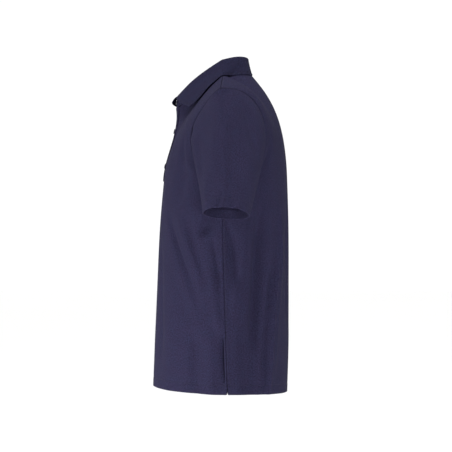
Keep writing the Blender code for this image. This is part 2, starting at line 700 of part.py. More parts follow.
def leaf_sheet():
    """The collar leaf: up from the stand's edge, over the roll and down to the lower edge."""
    half = np.concatenate(([neck_station(LEAF_HALF_GAP)], collar_stations()))
    stations = np.concatenate((half, half[-2::-1]))
    sides = np.where(np.arange(len(stations)) < len(half), RIGHT, LEFT)
    top = ring_point(STAND_FRONT, STAND_BACK, stations, sides)
    low = ring_point(NECK_FRONT, NECK_BACK, stations, sides)
    upward = unit(top - low)
    outward = unit(np.cross(np.gradient(top, axis=0), -upward))
    edge, hang, bulge = leaf_edge(stations, sides)
    start = top + upward * SEAM_GAP
    rows = [start]
    centre = start + upward * ROLL_START + outward * ROLL_RADIUS
    spring = np.where(sides == RIGHT, 1.0 - ease(stations / LEAF_SPRING_RUN), 0.0)[:, None]
    for share in np.linspace(0.0, 1.0, ROLL_STEPS + 1):
        turn = math.pi * (1.0 - share)
        lean = np.array((0.0, -LEAF_SPRING_FORWARD * share, -LEAF_SPRING_DOWN * share ** 2))
        around = outward * math.cos(turn) + upward * math.sin(turn)
        rows.append(centre + around * ROLL_RADIUS + spring * lean)
    over = rows[-1]
    length = np.linalg.norm(edge - over, axis=1)[:, None]
    pull = over + (outward * bulge - upward * hang) * length
    for s in np.linspace(0.0, 1.0, LEAF_STEPS + 1)[1:]:
        rows.append((1 - s) ** 2 * over + 2 * s * (1 - s) * pull + s ** 2 * edge)
    return Sheet("collar_leaf", np.array(rows), wall=BAND_WALL)


def leaf_edge(stations, sides):
    """The leaf's lower edge, points of the panels moved out, and its hang and bulge."""
    edge = np.empty((len(stations), 3))
    hang = np.empty((len(stations), 1))
    bulge = np.empty((len(stations), 1))
    first = stations.min()
    for panel in (FRONT, BACK):
        chosen = stations <= 1.0 if panel == FRONT else stations > 1.0
        place = stations[chosen]
        if panel == FRONT:
            place = (place - first) / (1.0 - first)
        across, rise, stand_off, hang[chosen, 0], bulge[chosen, 0] = read_table(
            LEAF_EDGE[panel], place
        )
        here = upper_point(panel, across, rise)
        aside = upper_point(panel, across + PROBE, rise) - here
        below = here - upper_point(panel, across, rise - PROBE)
        outward = unit(np.cross(aside, below)) * -panel
        edge[chosen] = here + outward * stand_off[:, None]
    edge[:, 0] *= sides
    return edge, hang, bulge


def placket_sheet(name, layer, top_gap):
    """A placket strip: points of the front panel, moved out or in by one layer."""
    first = len(body_levels()) - 2
    lines = []
    for distance in (-PLACKET_HALF_WIDTH, -CUT_HALF_WIDTH, 0.0, CUT_HALF_WIDTH, PLACKET_HALF_WIDTH):
        line = strip_line(abs(distance))[first:]
        lines.append(line * (-1.0 if distance < 0 else 1.0, 1.0, 1.0))
    points = np.stack(lines, axis=1)
    points[-1] += unit(points[-2] - points[-1]) * top_gap
    normals = Sheet(name, points).normals
    return Sheet(name, points + normals * layer * (WALL + LAY_GAP))


def button(name, point, normal):
    """A turned button with a raised rim, its back just clear of the cloth."""
    body = bmesh.new()
    verts = [
        body.verts.new((turning.radius * BUTTON_RADIUS, 0.0, turning.height * BUTTON_THICKNESS))
        for turning in BUTTON_PROFILE
    ]
    edges = [body.edges.new(pair) for pair in zip(verts, verts[1:])]
    bmesh.ops.spin(
        body, geom=verts + edges, cent=(0, 0, 0), axis=(0, 0, 1), dvec=(0, 0, 0),
        angle=2 * math.pi, steps=BUTTON_SIDES, use_merge=True, use_duplicate=False,
    )
    bmesh.ops.remove_doubles(body, verts=body.verts, dist=WELD)
    bmesh.ops.recalc_face_normals(body, faces=body.faces)
    mesh = bpy.data.meshes.new(name)
    body.to_mesh(mesh)
    body.free()
    placed = add_object(name, mesh, "button polyester", NAVY_BUTTON, BUTTON_ROUGHNESS)
    placed.rotation_mode = "QUATERNION"
    placed.rotation_quaternion = Vector(normal).to_track_quat("Z", "Y")
    placed.location = Vector(point) + Vector(normal) * LAY_GAP
    return placed


def add_object(name, mesh, finish, colour, roughness):
    """Puts a mesh in the scene with its own material, shaded smooth."""
    material = bpy.data.materials.new(f"{name} {finish}")
    material.use_nodes = True
    shader = material.node_tree.nodes["Principled BSDF"]
    shader.inputs["Base Color"].default_value = colour
    shader.inputs["Roughness"].default_value = roughness
    shader.inputs["Metallic"].default_value = 0.0
    mesh.materials.append(material)
    mesh.shade_smooth()
    mesh.set_sharp_from_angle(angle=SMOOTH_ANGLE)
    placed = bpy.data.objects.new(name, mesh)
    bpy.context.scene.collection.objects.link(placed)
    return placed


def clear_scene():
    """Removes what the scene holds at the start."""
    for old in list(bpy.data.objects):
        bpy.data.objects.remove(old)


def shoulder_columns(sheet, column):
    """A panel's columns along one shoulder seam, from the neck out to the end column."""
    last = sheet.points.shape[1] - 1
    if column == 0:
        return range(SHOULDER_STEPS, -1, -1)
    return range(last - SHOULDER_STEPS, last + 1)


def seams_of(front, back, sleeves, stand):
    """Every pair of edges that are sewn together."""
    chest = len(body_levels()) - 1
    low_rows = range(chest + 1)
    high_rows = range(chest, front.points.shape[0])
    first_half = range(ARM_STEPS + 1)
    second_half = [i % (2 * ARM_STEPS) for i in range(ARM_STEPS, 2 * ARM_STEPS + 1)]
    seams = []
    for sheet, in_front, behind in ((sleeves[0], -1, 0), (sleeves[1], 0, -1)):
        seams += [
            (column_edge(front, in_front, low_rows), column_edge(back, behind, low_rows)),
            (column_edge(front, in_front, high_rows[::-1]), row_edge(sheet, 0, first_half)),
            (column_edge(back, behind, high_rows), row_edge(sheet, 0, second_half)),
            (
                row_edge(front, -1, shoulder_columns(front, in_front)),
                row_edge(back, -1, shoulder_columns(back, behind)),
            ),
        ]
    middle = front.points.shape[1] // 2
    neck_spans = (
        (front, range(middle, middle + NECK_STEPS + 1)),
        (back, range(SHOULDER_STEPS, back.points.shape[1] - SHOULDER_STEPS)),
        (front, range(middle - 1 - NECK_STEPS, middle)),
    )
    walk = STAND_LAP_COLUMNS
    for panel, columns in neck_spans:
        stand_columns = range(walk, walk + len(columns))
        seams.append((row_edge(panel, -1, columns), row_edge(stand, 0, stand_columns)))
        walk += len(columns) - 1
    return seams


def main():
    """Builds every piece of the shirt."""
    clear_scene()
    front = body_panel(FRONT)
    back = body_panel(BACK)
    sleeves = (sleeve(LEFT, front, back), sleeve(RIGHT, front, back))
    stand = stand_sheet(front, back)
    sew(seams_of(front, back, sleeves, stand))
    leaf = leaf_sheet()
    upper, under = [placket_sheet(*layer) for layer in PLACKET_LAYERS]
    for sheet in (front, back, *sleeves, stand, leaf, upper, under):
        add_object(sheet.name, sheet.solid(), "pique cotton", NAVY, CLOTH_ROUGHNESS)
    ridge = upper.points.shape[1] // 2
    for name, level in BUTTON_LEVELS:
        row = int(np.argmin(np.abs(upper.points[:, ridge, 2] - level)))
        point = upper.points[row, ridge] + upper.normals[row, ridge] * WALL / 2
        button(name, point, upper.normals[row, ridge])
    low, high = stand.points[0, 2], stand.points[-1, 2]
    normal = unit(np.cross((1.0, 0.0, 0.0), high - low))
    point = low + (high - low) * TOP_BUTTON_HEIGHT + normal * (STAND_LAP + BAND_WALL / 2)
    button("button_top", point, normal)


if __name__ == "__main__":
    main()
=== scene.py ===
"""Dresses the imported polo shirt: pique cloth with its creases, hems and sewing, and buttons.

Metres, +Z up. The front faces -Y and the wearer's left is +X. The cloth has the form of the
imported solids, worked out again from the same sizes on a finer grid.
"""

from dataclasses import dataclass, field
import enum
import logging
import math
from typing import NamedTuple, Sequence

import bpy
from bpy.types import ID, Material, Mesh, Node, NodeSocket, NodeTree, Object
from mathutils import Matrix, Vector
import numpy as np


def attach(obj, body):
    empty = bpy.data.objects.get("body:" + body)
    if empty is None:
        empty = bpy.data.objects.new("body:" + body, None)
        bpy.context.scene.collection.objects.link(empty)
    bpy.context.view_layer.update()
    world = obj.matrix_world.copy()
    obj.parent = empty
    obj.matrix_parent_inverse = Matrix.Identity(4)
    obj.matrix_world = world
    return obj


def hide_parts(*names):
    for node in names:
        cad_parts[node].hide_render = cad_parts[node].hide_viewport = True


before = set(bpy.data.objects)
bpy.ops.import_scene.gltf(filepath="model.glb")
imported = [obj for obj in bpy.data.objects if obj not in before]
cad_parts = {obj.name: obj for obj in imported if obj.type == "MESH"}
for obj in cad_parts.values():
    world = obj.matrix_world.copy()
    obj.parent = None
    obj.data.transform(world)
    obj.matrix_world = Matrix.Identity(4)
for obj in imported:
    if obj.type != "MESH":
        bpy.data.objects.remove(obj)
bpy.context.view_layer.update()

Array = np.ndarray
MM = 0.001
BODY = "root"
FINE_STEPS = 300  # for measuring lengths along curves
log = logging.getLogger("polo_shirt")


class Half(enum.IntEnum):
    """A body panel, by the sign of Y that it faces."""

    FRONT = -1
    BACK = 1


class Side(enum.IntEnum):
    """A side of the wearer, by the sign of X."""

    LEFT = 1
    RIGHT = -1


class Slot(enum.Enum):
    """The record's material slots."""

    CLOTH = "pique_knit"
    BUTTON = "button"


class Point(NamedTuple):
    """A place of the shirt."""

    x: float
    y: float
    z: float


class Section(NamedTuple):
    """A level section of the hanging body: half superellipses in front and behind."""

    level: float
    half_width: float
    front_depth: float
    back_depth: float
    roundness: float


class Strand(NamedTuple):
    """How the cloth runs from the chest line up to the neck or shoulder, at one place across.

    lift and reach are how far it keeps its first and last direction, as shares of its chord;
    pitch is the rise of its last direction and splay its turn inwards, in degrees.
    """

    across: float
    lift: float
    reach: float
    pitch: float
    splay: float


class ArmholeStep(NamedTuple):
    """A place of the armhole line: way up, and where it stands on the panel."""

    way: float
    across: float
    rise: float


class Crease(NamedTuple):
    """A soft ridge between two places of the cloth; a negative depth is a trough.

    On a panel across is 0 in the middle and 1 at the side seam, and down is a level. On a
    sleeve across goes round it, from the outside by the front, and down is a share of its
    length. bow is the sideways bend of the crease's middle.
    """

    across_top: float
    down_top: float
    across_low: float
    down_low: float
    width: float
    depth: float
    bow: float = 0.0


class SeamDrift(NamedTuple):
    """How far behind the side plane the side seam runs at a level."""

    level: float
    back: float


class SleeveRun(NamedTuple):
    """How the sleeve leaves the armhole, from the shoulder tip (way 0) to the underarm (1)."""

    way: float
    out: float
    ahead: float
    behind: float
    up: float
    keep_start: float
    keep_end: float


class LeafEdge(NamedTuple):
    """A place of the collar's lower edge on a panel, and how the leaf comes down to it."""

    station: float
    across: float
    rise: float
    stand_off: float
    hang: float
    bulge: float


# -------- mathematics


def unit(vectors: Array) -> Array:
    """The vectors at length 1."""
    return vectors / np.linalg.norm(vectors, axis=-1, keepdims=True)


def ease(share: Array) -> Array:
    """A soft step from 0 to 1."""
    share = np.clip(share, 0.0, 1.0)
    return share * share * (3.0 - 2.0 * share)


def hermite(start: Array, leave: Array, end: Array, arrive: Array, share: Array) -> Array:
    """A curve between two points with given directions there.

    Args:
        start: Points where it starts.
        leave: Directions there.
        end: Points where it ends.
        arrive: Directions there.
        share: Shares of its way.

    Returns:
        The curve's points.
    """
    return (
        (2 * share ** 3 - 3 * share ** 2 + 1) * start
        + (share ** 3 - 2 * share ** 2 + share) * leave
        + (3 * share ** 2 - 2 * share ** 3) * end
        + (share ** 3 - share ** 2) * arrive
    )


def spline(keys: Array, values: Array, at: Array) -> Array:
    """A natural cubic spline through rows of values.

    Args:
        keys: Rising keys, one for each row.
        values: The rows.
        at: Keys to read it at.

    Returns:
        The rows read there.
    """
    keys = np.asarray(keys, float)
    values = np.asarray(values, float)
    at = np.asarray(at, float)
    steps = np.diff(keys)
    system = np.eye(len(keys))
    pull = np.zeros_like(values)
    slopes = np.diff(values, axis=0) / steps[:, None]
    for i in range(1, len(keys) - 1):
        system[i, i - 1:i + 2] = steps[i - 1], 2 * (steps[i - 1] + steps[i]), steps[i]
        pull[i] = 6 * (slopes[i] - slopes[i - 1])
    bend = np.linalg.solve(system, pull)
    span = np.clip(np.searchsorted(keys, at, side="right") - 1, 0, len(keys) - 2)
    far = ((at - keys[span]) / steps[span])[..., None]
    near = 1.0 - far
    curve = (near ** 3 - near) * bend[span] + (far ** 3 - far) * bend[span + 1]
    return near * values[span] + far * values[span + 1] + curve * steps[span][..., None] ** 2 / 6


def read_table(table: Sequence[tuple], at: Array) -> list[Array]:
    """Reads a table's further columns at values of its first column, as separate arrays."""
    rows = np.array(table, float)
    order = np.argsort(rows[:, 0])
    found = spline(rows[order, 0], rows[order, 1:], at)
    return [found[..., i] for i in range(found.shape[-1])]


def run_along(points: Array, axis: int = 0) -> Array:
    """Length run along an axis of a line or grid of points, from 0 at its start."""
    steps = np.linalg.norm(np.diff(points, axis=axis), axis=-1)
    start = np.zeros_like(np.take(steps, [0], axis=axis))
    return np.concatenate((start, np.cumsum(steps, axis=axis)), axis=axis)


def along(points: Sequence[Point], share: Array) -> Array:
    """Points at shares of the length of a smooth line that crosses the middle plane squarely.

    Args:
        points: Places on the line; an end on the middle plane is carried on as mirrored.
        share: Shares of its length.

    Returns:
        The points.
    """
    rows = np.array(points)
    flip = np.array((-1.0, 1.0, 1.0))
    first = 0
    if points[0].x == 0.0:
        rows = np.vstack((rows[2:0:-1] * flip, rows))
        first = 2
    last = first + len(points) - 1
    if points[-1].x == 0.0:
        rows = np.vstack((rows, rows[-2:-4:-1] * flip))
    keys = run_along(rows)
    fine = np.linspace(keys[first], keys[last], FINE_STEPS)
    run = run_along(spline(keys, rows, fine))
    return spline(keys, rows, np.interp(np.asarray(share) * run[-1], run, fine))


def read_run(run: Array, rows: Array, at: Array) -> Array:
    """Reads rows of points, which stand at given lengths of a line, at other lengths."""
    return np.stack([np.interp(at, run, rows[:, i]) for i in range(3)], axis=1)


def grid_normals(points: Array, closed: bool) -> Array:
    """Normals of a grid's points, from the faces that meet there.

    Args:
        points: Rows and columns of points.
        closed: Whether the last column meets the first.

    Returns:
        A normal for each point.
    """
    ahead = np.roll(points, -1, axis=1) if closed else points[:, 1:]
    here = points if closed else points[:, :-1]
    face = np.cross(ahead[1:] - here[:-1], here[1:] - ahead[:-1])
    normals = np.zeros_like(points)
    height, width = face.shape[:2]
    for row in (0, 1):
        for column in (0, 1):
            if closed:
                normals[row:row + height] += np.roll(face, column, axis=1)
            else:
                normals[row:row + height, column:column + width] += face
    return unit(normals)


# -------- finishes


def linear(code: str) -> tuple[float, float, float, float]:
    """Linear colour of an sRGB hex value, such as #34314a."""
    parts = [int(code[i:i + 2], 16) / 255 for i in (1, 3, 5)]
    return (*[p / 12.92 if p <= 0.04045 else ((p + 0.055) / 1.055) ** 2.4 for p in parts], 1.0)


def add_node(tree: NodeTree, kind: str, inputs: dict | None = None,
             **settings: object) -> Node:
    """Adds a node with its settings and links.

    Args:
        tree: Where it is added.
        kind: Blender's name for it, after ShaderNode.
        inputs: What each named or numbered input is given, as in set_inputs.
        **settings: The node's own settings.

    Returns:
        The node.
    """
    node = tree.nodes.new("ShaderNode" + kind)
    for name, value in settings.items():
        setattr(node, name, value)
    set_inputs(node, inputs or {})
    return node


def set_inputs(node: Node, inputs: dict) -> None:
    """Gives a node's inputs their values, or links them to a node's first or another output.

    Args:
        node: The node.
        inputs: A value, a node or an output for each input, by its name or number. A Map Range
            has 0 its value, 1 and 2 the range read and 3 and 4 the range given; a Mix of
            colours has 0 the share and 6 and 7 the colours, and gives its own at output 2.
    """
    for name, value in inputs.items():
        source = value.outputs[0] if isinstance(value, Node) else value
        if isinstance(source, NodeSocket):
            node.id_data.links.new(source, node.inputs[name])
        else:
            node.inputs[name].default_value = source


def new_material(name: str) -> tuple[Material, NodeTree, Node]:
    """A new material with its node tree and its Principled shader."""
    material = bpy.data.materials.new(name)
    material.use_nodes = True
    return material, material.node_tree, material.node_tree.nodes["Principled BSDF"]


@dataclass(frozen=True)
class PiqueKnit:
    """Cotton pique, knitted with tuck stitches and piece-dyed.

    The tucks give the eye a dry, matt face of small raised cells, with painted shade drawn in
    the pits between them, and the dye takes a little unevenly.
    """

    name: str = "cotton_pique"
    # painted shade in the pits between the cells
    pit_shade: str = "#12111e"
    cell: str = "#1d1a2c"
    worn: str = "#221e32"
    # Real cells are 1.3 mm across and 1.0 mm down; drawn a quarter coarser, so that they show
    cell_across: float = 1.65 * MM
    cell_down: float = 1.25 * MM
    relief: float = 0.26 * MM
    mottle: float = 45 * MM
    grain: float = 2.6 * MM
    grain_share: float = 0.5
    seam_shade_strength: float = 0.85  # painted shade: how much darker cloth near a seam is drawn
    # Wash takes the dye's red first, so soft patches of the face look a little bluer
    tint: str = "#191f32"
    tint_share: float = 0.35
    patches: float = 2.6  # how many of them, in a line, to one of the mottle's
    wobble: float = 0.5 * MM  # how far the knit's rows wander, and the run of that
    wobble_run: float = 6.25 * MM
    roughness: float = 1.0
    specular: float = 0.03

    def material(self) -> Material:
        """The finish as a Blender material, its pattern laid along the cloth's own threads."""
        material, tree, shader = new_material(self.name)
        place = add_node(tree, "UVMap", uv_map=Cloth.UV_MAP)
        wobble = add_node(tree, "TexNoise", {"Vector": place, "Scale": 1.0 / self.wobble_run})
        moved = add_node(tree, "VectorMath", {0: wobble.outputs["Color"], 1: (self.wobble,) * 3, 2: place},
                         operation="MULTIPLY_ADD")
        parts = add_node(tree, "SeparateXYZ", {0: moved})
        waves = []
        for output, pitch in ((0, self.cell_across), (1, self.cell_down)):
            turned = add_node(tree, "Math", {0: parts.outputs[output], 1: math.pi / pitch},
                              operation="MULTIPLY")
            waves.append(add_node(tree, "Math", {0: turned}, operation="SINE"))
        cells = add_node(tree, "Math", {0: waves[0], 1: waves[1]}, operation="MULTIPLY")
        height = add_node(tree, "MapRange", {0: cells, 1: -1.0, 2: 1.0, 3: 0.0, 4: 1.0})
        mottle = add_node(tree, "TexNoise",
                          {"Vector": place, "Scale": 1.0 / self.mottle, "Detail": 4.0})
        uneven = add_node(tree, "MapRange", {0: mottle, 1: 0.35, 2: 0.70, 3: 0.0, 4: 0.35})
        worn = add_node(tree, "Mix",
                        {0: uneven, 6: linear(self.cell), 7: linear(self.worn)}, data_type="RGBA")
        dye = add_node(tree, "TexNoise",
                       {"Vector": place, "Scale": self.patches / self.mottle, "Detail": 6.0,
                        "Roughness": 0.75})
        bluer = add_node(tree, "MapRange", {0: dye, 1: 0.42, 2: 0.62, 3: 0.0, 4: self.tint_share})
        raised = add_node(tree, "Mix",
                          {0: bluer, 6: worn.outputs[2], 7: linear(self.tint)}, data_type="RGBA")
        # Painted shade: the lower the knit's pattern, the nearer the colour is to the dark pit shade
        colour = add_node(tree, "Mix",
                          {0: height, 6: linear(self.pit_shade), 7: raised.outputs[2]}, data_type="RGBA")
        grain = add_node(tree, "TexNoise", {"Vector": place, "Scale": 1.0 / self.grain, "Detail": 2.0})
        shade = add_node(tree, "MapRange", {0: grain, 1: 0.3, 2: 0.7, 3: 1.0 - self.grain_share,
                                            4: 1.0 + self.grain_share})
        # Painted shade: cloth near the seams is drawn darker by the seam-shade layer, on top of the grain
        painted_seam_shade = add_node(tree, "Attribute", attribute_name=Cloth.SEAM_SHADE_LAYER)
        seam_shading = add_node(tree, "Math", {0: painted_seam_shade.outputs["Fac"], 1: -self.seam_shade_strength, 2: 1.0},
                          operation="MULTIPLY_ADD")
        share = add_node(tree, "Math", {0: shade, 1: seam_shading}, operation="MULTIPLY")
        grained_and_seam_shaded = add_node(tree, "VectorMath", {0: colour.outputs[2], "Scale": share}, operation="SCALE")
        bump = add_node(tree, "Bump", {"Height": height, "Distance": self.relief, "Strength": 0.8})
        set_inputs(shader, {"Base Color": grained_and_seam_shaded, "Normal": bump, "Roughness": self.roughness,
                            "Specular IOR Level": self.specular})
        return material


@dataclass(frozen=True)
class SewingThread:
    """Spun polyester, dyed darker than the cloth and pulled into it: it shows as thin dark lines."""

    name: str = "spun_polyester_thread"
    dark: str = "#0f0f1a"
    light: str = "#191824"
    ply: float = 0.6 * MM
    relief: float = 0.05 * MM
    roughness: float = 0.8
    specular: float = 0.15

    def material(self) -> Material:
        """The finish as a Blender material, with the ply's fine bands."""
        material, tree, shader = new_material(self.name)
        place = add_node(tree, "TexCoord")
        # At scale 1 the bands are 0.31 m apart
        bands = add_node(
            tree, "TexWave",
            {"Vector": place.outputs["Object"], "Scale": 0.31 / self.ply, "Distortion": 2.0},
            bands_direction="DIAGONAL",
        )
        colour = add_node(tree, "Mix", {0: bands.outputs["Fac"], 6: linear(self.dark),
                                        7: linear(self.light)}, data_type="RGBA")
        bump = add_node(tree, "Bump",
                        {"Height": bands.outputs["Fac"], "Distance": self.relief, "Strength": 0.6})
        set_inputs(shader, {"Base Color": colour.outputs[2], "Normal": bump,
                            "Roughness": self.roughness, "Specular IOR Level": self.specular})
        return material


@dataclass(frozen=True)
class TurnedPolyester:
    """Polyester resin, cast in swirls, turned and tumbled: a dark, glossy, faintly pearly face."""

    name: str = "turned_polyester"
    dark: str = "#15141f"
    pearl: str = "#262433"
    swirl: float = 4 * MM
    ior: float = 1.54
    roughness: float = 0.26
    specular: float = 0.3
    coat: float = 0.12
    coat_roughness: float = 0.1

    def material(self) -> Material:
        """The finish as a Blender material."""
        material, tree, shader = new_material(self.name)
        place = add_node(tree, "TexCoord")
        swirls = add_node(tree, "TexNoise", {"Vector": place.outputs["Object"], "Detail": 3.0,
                                             "Scale": 1.0 / self.swirl, "Distortion": 2.5})
        share = add_node(tree, "MapRange", {0: swirls, 1: 0.40, 2: 0.75, 3: 0.0, 4: 1.0})
        colour = add_node(tree, "Mix",
                          {0: share, 6: linear(self.dark), 7: linear(self.pearl)}, data_type="RGBA")
        scuffs = add_node(tree, "MapRange", {0: swirls, 1: 0.0, 2: 1.0, 3: self.roughness - 0.06,
                                             4: self.roughness + 0.10})
        set_inputs(shader, {"Base Color": colour.outputs[2], "Roughness": scuffs, "IOR": self.ior,
                            "Specular IOR Level": self.specular, "Coat Weight": self.coat,
                            "Coat Roughness": self.coat_roughness})
        return material


@dataclass(frozen=True)
class PaintedFloor:
    """A matt white painted studio floor, rolled on, so that its grain hardly shows."""

    name: str = "matt_white_paint"
    colour: str = "#fcfcfc"
    shade: str = "#f9f9f8"
    roughness: float = 0.85

    def material(self) -> Material:
        """The finish as a Blender material."""
        material, tree, shader = new_material(self.name)
        grain = add_node(tree, "TexNoise", {"Scale": 3.0, "Detail": 5.0})
        colour = add_node(tree, "Mix",
                          {0: grain, 6: linear(self.colour), 7: linear(self.shade)}, data_type="RGBA")
        set_inputs(shader, {"Base Color": colour.outputs[2], "Roughness": self.roughness})
        return material


# -------- cloth


class Cloth:
    """A sheet of cloth: a grid of points on its middle, and how far its faces lie from them."""

    UV_MAP = "threads"
    SEAM_SHADE_LAYER = "painted_seam_shade"  # painted shade near a seam's groove, from 0 to 1
    EDGE_ROUNDING = 0.35  # how far a free edge swells out, as a share of the wall
    SHARP = math.radians(42)

    def __init__(self, name: str, points: Array, wall: float, closed: bool = False,
                 turned: bool = False) -> None:
        """Lays out the sheet.

        Args:
            name: The piece's name.
            points: Rows and columns of points on the middle of the cloth.
            wall: Its thickness.
            closed: Whether the last column meets the first.
            turned: Whether the face side lies against the grid's own normals.
        """
        self.name = name
        self.points = points
        self.wall = wall
        self.closed = closed
        self.turned = turned
        shape = points.shape[:2]
        self.outer = np.full(shape, wall / 2)
        self.inner = np.full(shape, wall / 2)
        self.shift = np.zeros_like(points)
        self.rounding = np.full(shape, self.EDGE_ROUNDING)
        # painted shade near the seams, from 0 to 1
        self.painted_seam_shade = np.zeros(shape)
        self.kept = np.ones((shape[0] - 1, shape[1] - (0 if closed else 1)), bool)
        self.renew()

    def renew(self) -> None:
        """Works out the normals again, after the points have moved."""
        self.normals = grid_normals(self.points, self.closed) * (-1.0 if self.turned else 1.0)
        self.lean = self.normals.copy()

    def press(self, depth: Array) -> None:
        """Moves the cloth out along its normals by a depth for each point."""
        self.points = self.points + self.normals * depth[..., None]
        self.renew()

    def reach(self, axis: int, from_end: bool = False) -> Array:
        """Distance of each point along its column (axis 0) or row (axis 1) from one edge."""
        run = run_along(self.points, axis)
        return np.take(run, [-1], axis=axis) - run if from_end else run

    def inset(self, distance: float, axis: int, from_end: bool = False) -> Array:
        """Where a line at a distance from an edge crosses each column or row, as an index.

        Args:
            distance: Distance from the edge.
            axis: 0 for a line beside the first or last row, 1 for one beside a column.
            from_end: Whether the edge is the last row or column.

        Returns:
            A fractional index for each column (axis 0) or row (axis 1).
        """
        run = self.reach(axis, from_end)
        lines = run.T if axis == 0 else run
        steps = np.arange(lines.shape[1])
        way = -1 if from_end else 1
        return np.array([np.interp(distance, line[::way], steps[::way]) for line in lines])

    def face_at(self, rows: Array, columns: Array) -> tuple[Array, Array]:
        """Places and normals on the face side.

        Args:
            rows: Fractional row indices.
            columns: Fractional column indices.

        Returns:
            The places and the normals there.
        """
        face = self.points + self.shift + self.lean * self.outer[..., None]
        count = face.shape[1]
        row = np.clip(rows.astype(int), 0, face.shape[0] - 2)
        low = np.floor(columns).astype(int)
        low = low % count if self.closed else np.clip(low, 0, count - 2)
        after = (low + 1) % count
        down = (rows - row)[:, None]
        aside = (columns - (np.floor(columns) if self.closed else low))[:, None]
        found = []
        for values in (face, self.normals):
            near = values[row, low] * (1 - aside) + values[row, after] * aside
            far = values[row + 1, low] * (1 - aside) + values[row + 1, after] * aside
            found.append(near * (1 - down) + far * down)
        return found[0], unit(found[1])

    def thread_map(self) -> Array:
        """Distances along the cloth, in metres, for each point and a column more if closed."""
        points = self.points
        if self.closed:
            points = np.concatenate((points, points[:, :1]), axis=1)
        across = run_along(points, 1)
        across = across - across[:, [across.shape[1] // 2]]
        return np.stack((across, run_along(points, 0)), axis=-1)

    def build(self) -> Object:
        """The sheet as one closed mesh: two faces and the rounded edges between them."""
        columns = self.points.shape[1]
        row, column = np.nonzero(self.kept)
        after = (column + 1) % columns
        corners = np.stack(
            (row * columns + column, row * columns + after,
             (row + 1) * columns + after, (row + 1) * columns + column), axis=1,
        )
        threads = self.thread_map()
        places = np.stack(
            (threads[row, column], threads[row, column + 1],
             threads[row + 1, column + 1], threads[row + 1, column]), axis=1,
        )
        if self.turned:
            corners, places = corners[:, ::-1], places[:, ::-1]
        count = self.points.shape[0] * columns
        ends = np.roll(corners, -1, axis=1)
        rim = ~np.isin(corners * count + ends, ends * count + corners)
        start, end = corners[rim], ends[rim]
        start_place, end_place = places[rim], np.roll(places, -1, axis=1)[rim]

        middle = (self.points + self.shift).reshape(-1, 3)
        lean = self.lean.reshape(-1, 3)
        outer = middle + lean * self.outer.reshape(-1, 1)
        inner = middle - lean * self.inner.reshape(-1, 1)
        away = np.zeros_like(middle)
        outwards = np.cross(middle[end] - middle[start], self.normals.reshape(-1, 3)[start])
        np.add.at(away, start, outwards)
        np.add.at(away, end, outwards)
        away /= np.maximum(np.linalg.norm(away, axis=1, keepdims=True), 1e-9)
        swell = away * (self.rounding.reshape(-1, 1) * self.wall)
        edge = (outer + inner) / 2 + swell

        faces = np.concatenate((
            corners,
            corners[:, ::-1] + count,
            np.stack((end, start, start + 2 * count, end + 2 * count), axis=1),
            np.stack((end, start, start + count, end + count), axis=1)
            + np.array((2 * count, 2 * count, 0, 0)),
        ))
        around = np.stack((end_place, start_place, start_place, end_place), axis=1)
        places = np.concatenate((places, places[:, ::-1], around, around))
        used, faces = np.unique(faces, return_inverse=True)
        vertices = np.concatenate((outer, inner, edge))[used]
        piece = mesh_object(self.name, vertices, faces.reshape(-1, 4), places.reshape(-1, 2),
                            self.UV_MAP, self.SHARP)
        # The painted seam shade goes on the mesh, for the material to darken the cloth by
        painted_seam_shade = np.tile(self.painted_seam_shade.ravel(), 3)[used]
        layer = piece.data.attributes.new(self.SEAM_SHADE_LAYER, "FLOAT", "POINT")
        layer.data.foreach_set("value", painted_seam_shade.astype(np.float32))
        return piece


def add_object(name: str, data: ID) -> Object:
    """Puts a mesh, a lamp or a camera into the scene."""
    placed = bpy.data.objects.new(name, data)
    bpy.context.scene.collection.objects.link(placed)
    return placed


def mesh_object(name: str, vertices: Array, faces: Array, places: Array | None = None,
                uv_map: str = "", sharp: float = math.radians(60)) -> Object:
    """A smooth-shaded mesh object in the scene.

    Args:
        name: Its name.
        vertices: Its points.
        faces: Rows of vertex indices.
        places: A UV place for each corner of each face.
        uv_map: The name of that map.
        sharp: Edges that bend more stay sharp.

    Returns:
        The object.
    """
    mesh = bpy.data.meshes.new(name)
    mesh.from_pydata(vertices.tolist(), [], faces.tolist())
    if places is not None:
        layer = mesh.uv_layers.new(name=uv_map)
        layer.uv.foreach_set("vector", places.astype(np.float32).ravel())
    mesh.update()
    mesh.shade_smooth()
    mesh.set_sharp_from_angle(angle=sharp)
    return add_object(name, mesh)


def crease_depth(creases: Sequence[Crease], across: Array, down: Array, girth: float,
                 taper: float, closed: bool = False) -> Array:
    """How far creases move the cloth out.

    Args:
        creases: The creases.
        across: Where each point stands across the cloth, as the creases count it.
        down: Where it stands down the cloth.
        girth: The length that is 1 across.
        taper: The share of a crease's length over which it fades at each end.
        closed: Whether the cloth meets itself, 1 being 0 again.

    Returns:
        A depth for each point.
    """
    depth = np.zeros_like(down)
    for crease in creases:
        way = (down - crease.down_top) / (crease.down_low - crease.down_top)
        middle = crease.across_top + (crease.across_low - crease.across_top) * way
        apart = across - middle - crease.bow * 4 * way * (1 - way)
        if closed:
            apart = (apart + 0.5) % 1.0 - 0.5
        held = ease(way / taper) * ease((1.0 - way) / taper)
        depth += crease.depth * held * np.exp(-(apart * girth / crease.width) ** 2)
    return depth


class Edge(NamedTuple):
    """An edge of a sheet: a row with its columns, or a column with its rows."""

    sheet: Cloth
    rows: int | Sequence[int]
    columns: int | Sequence[int]


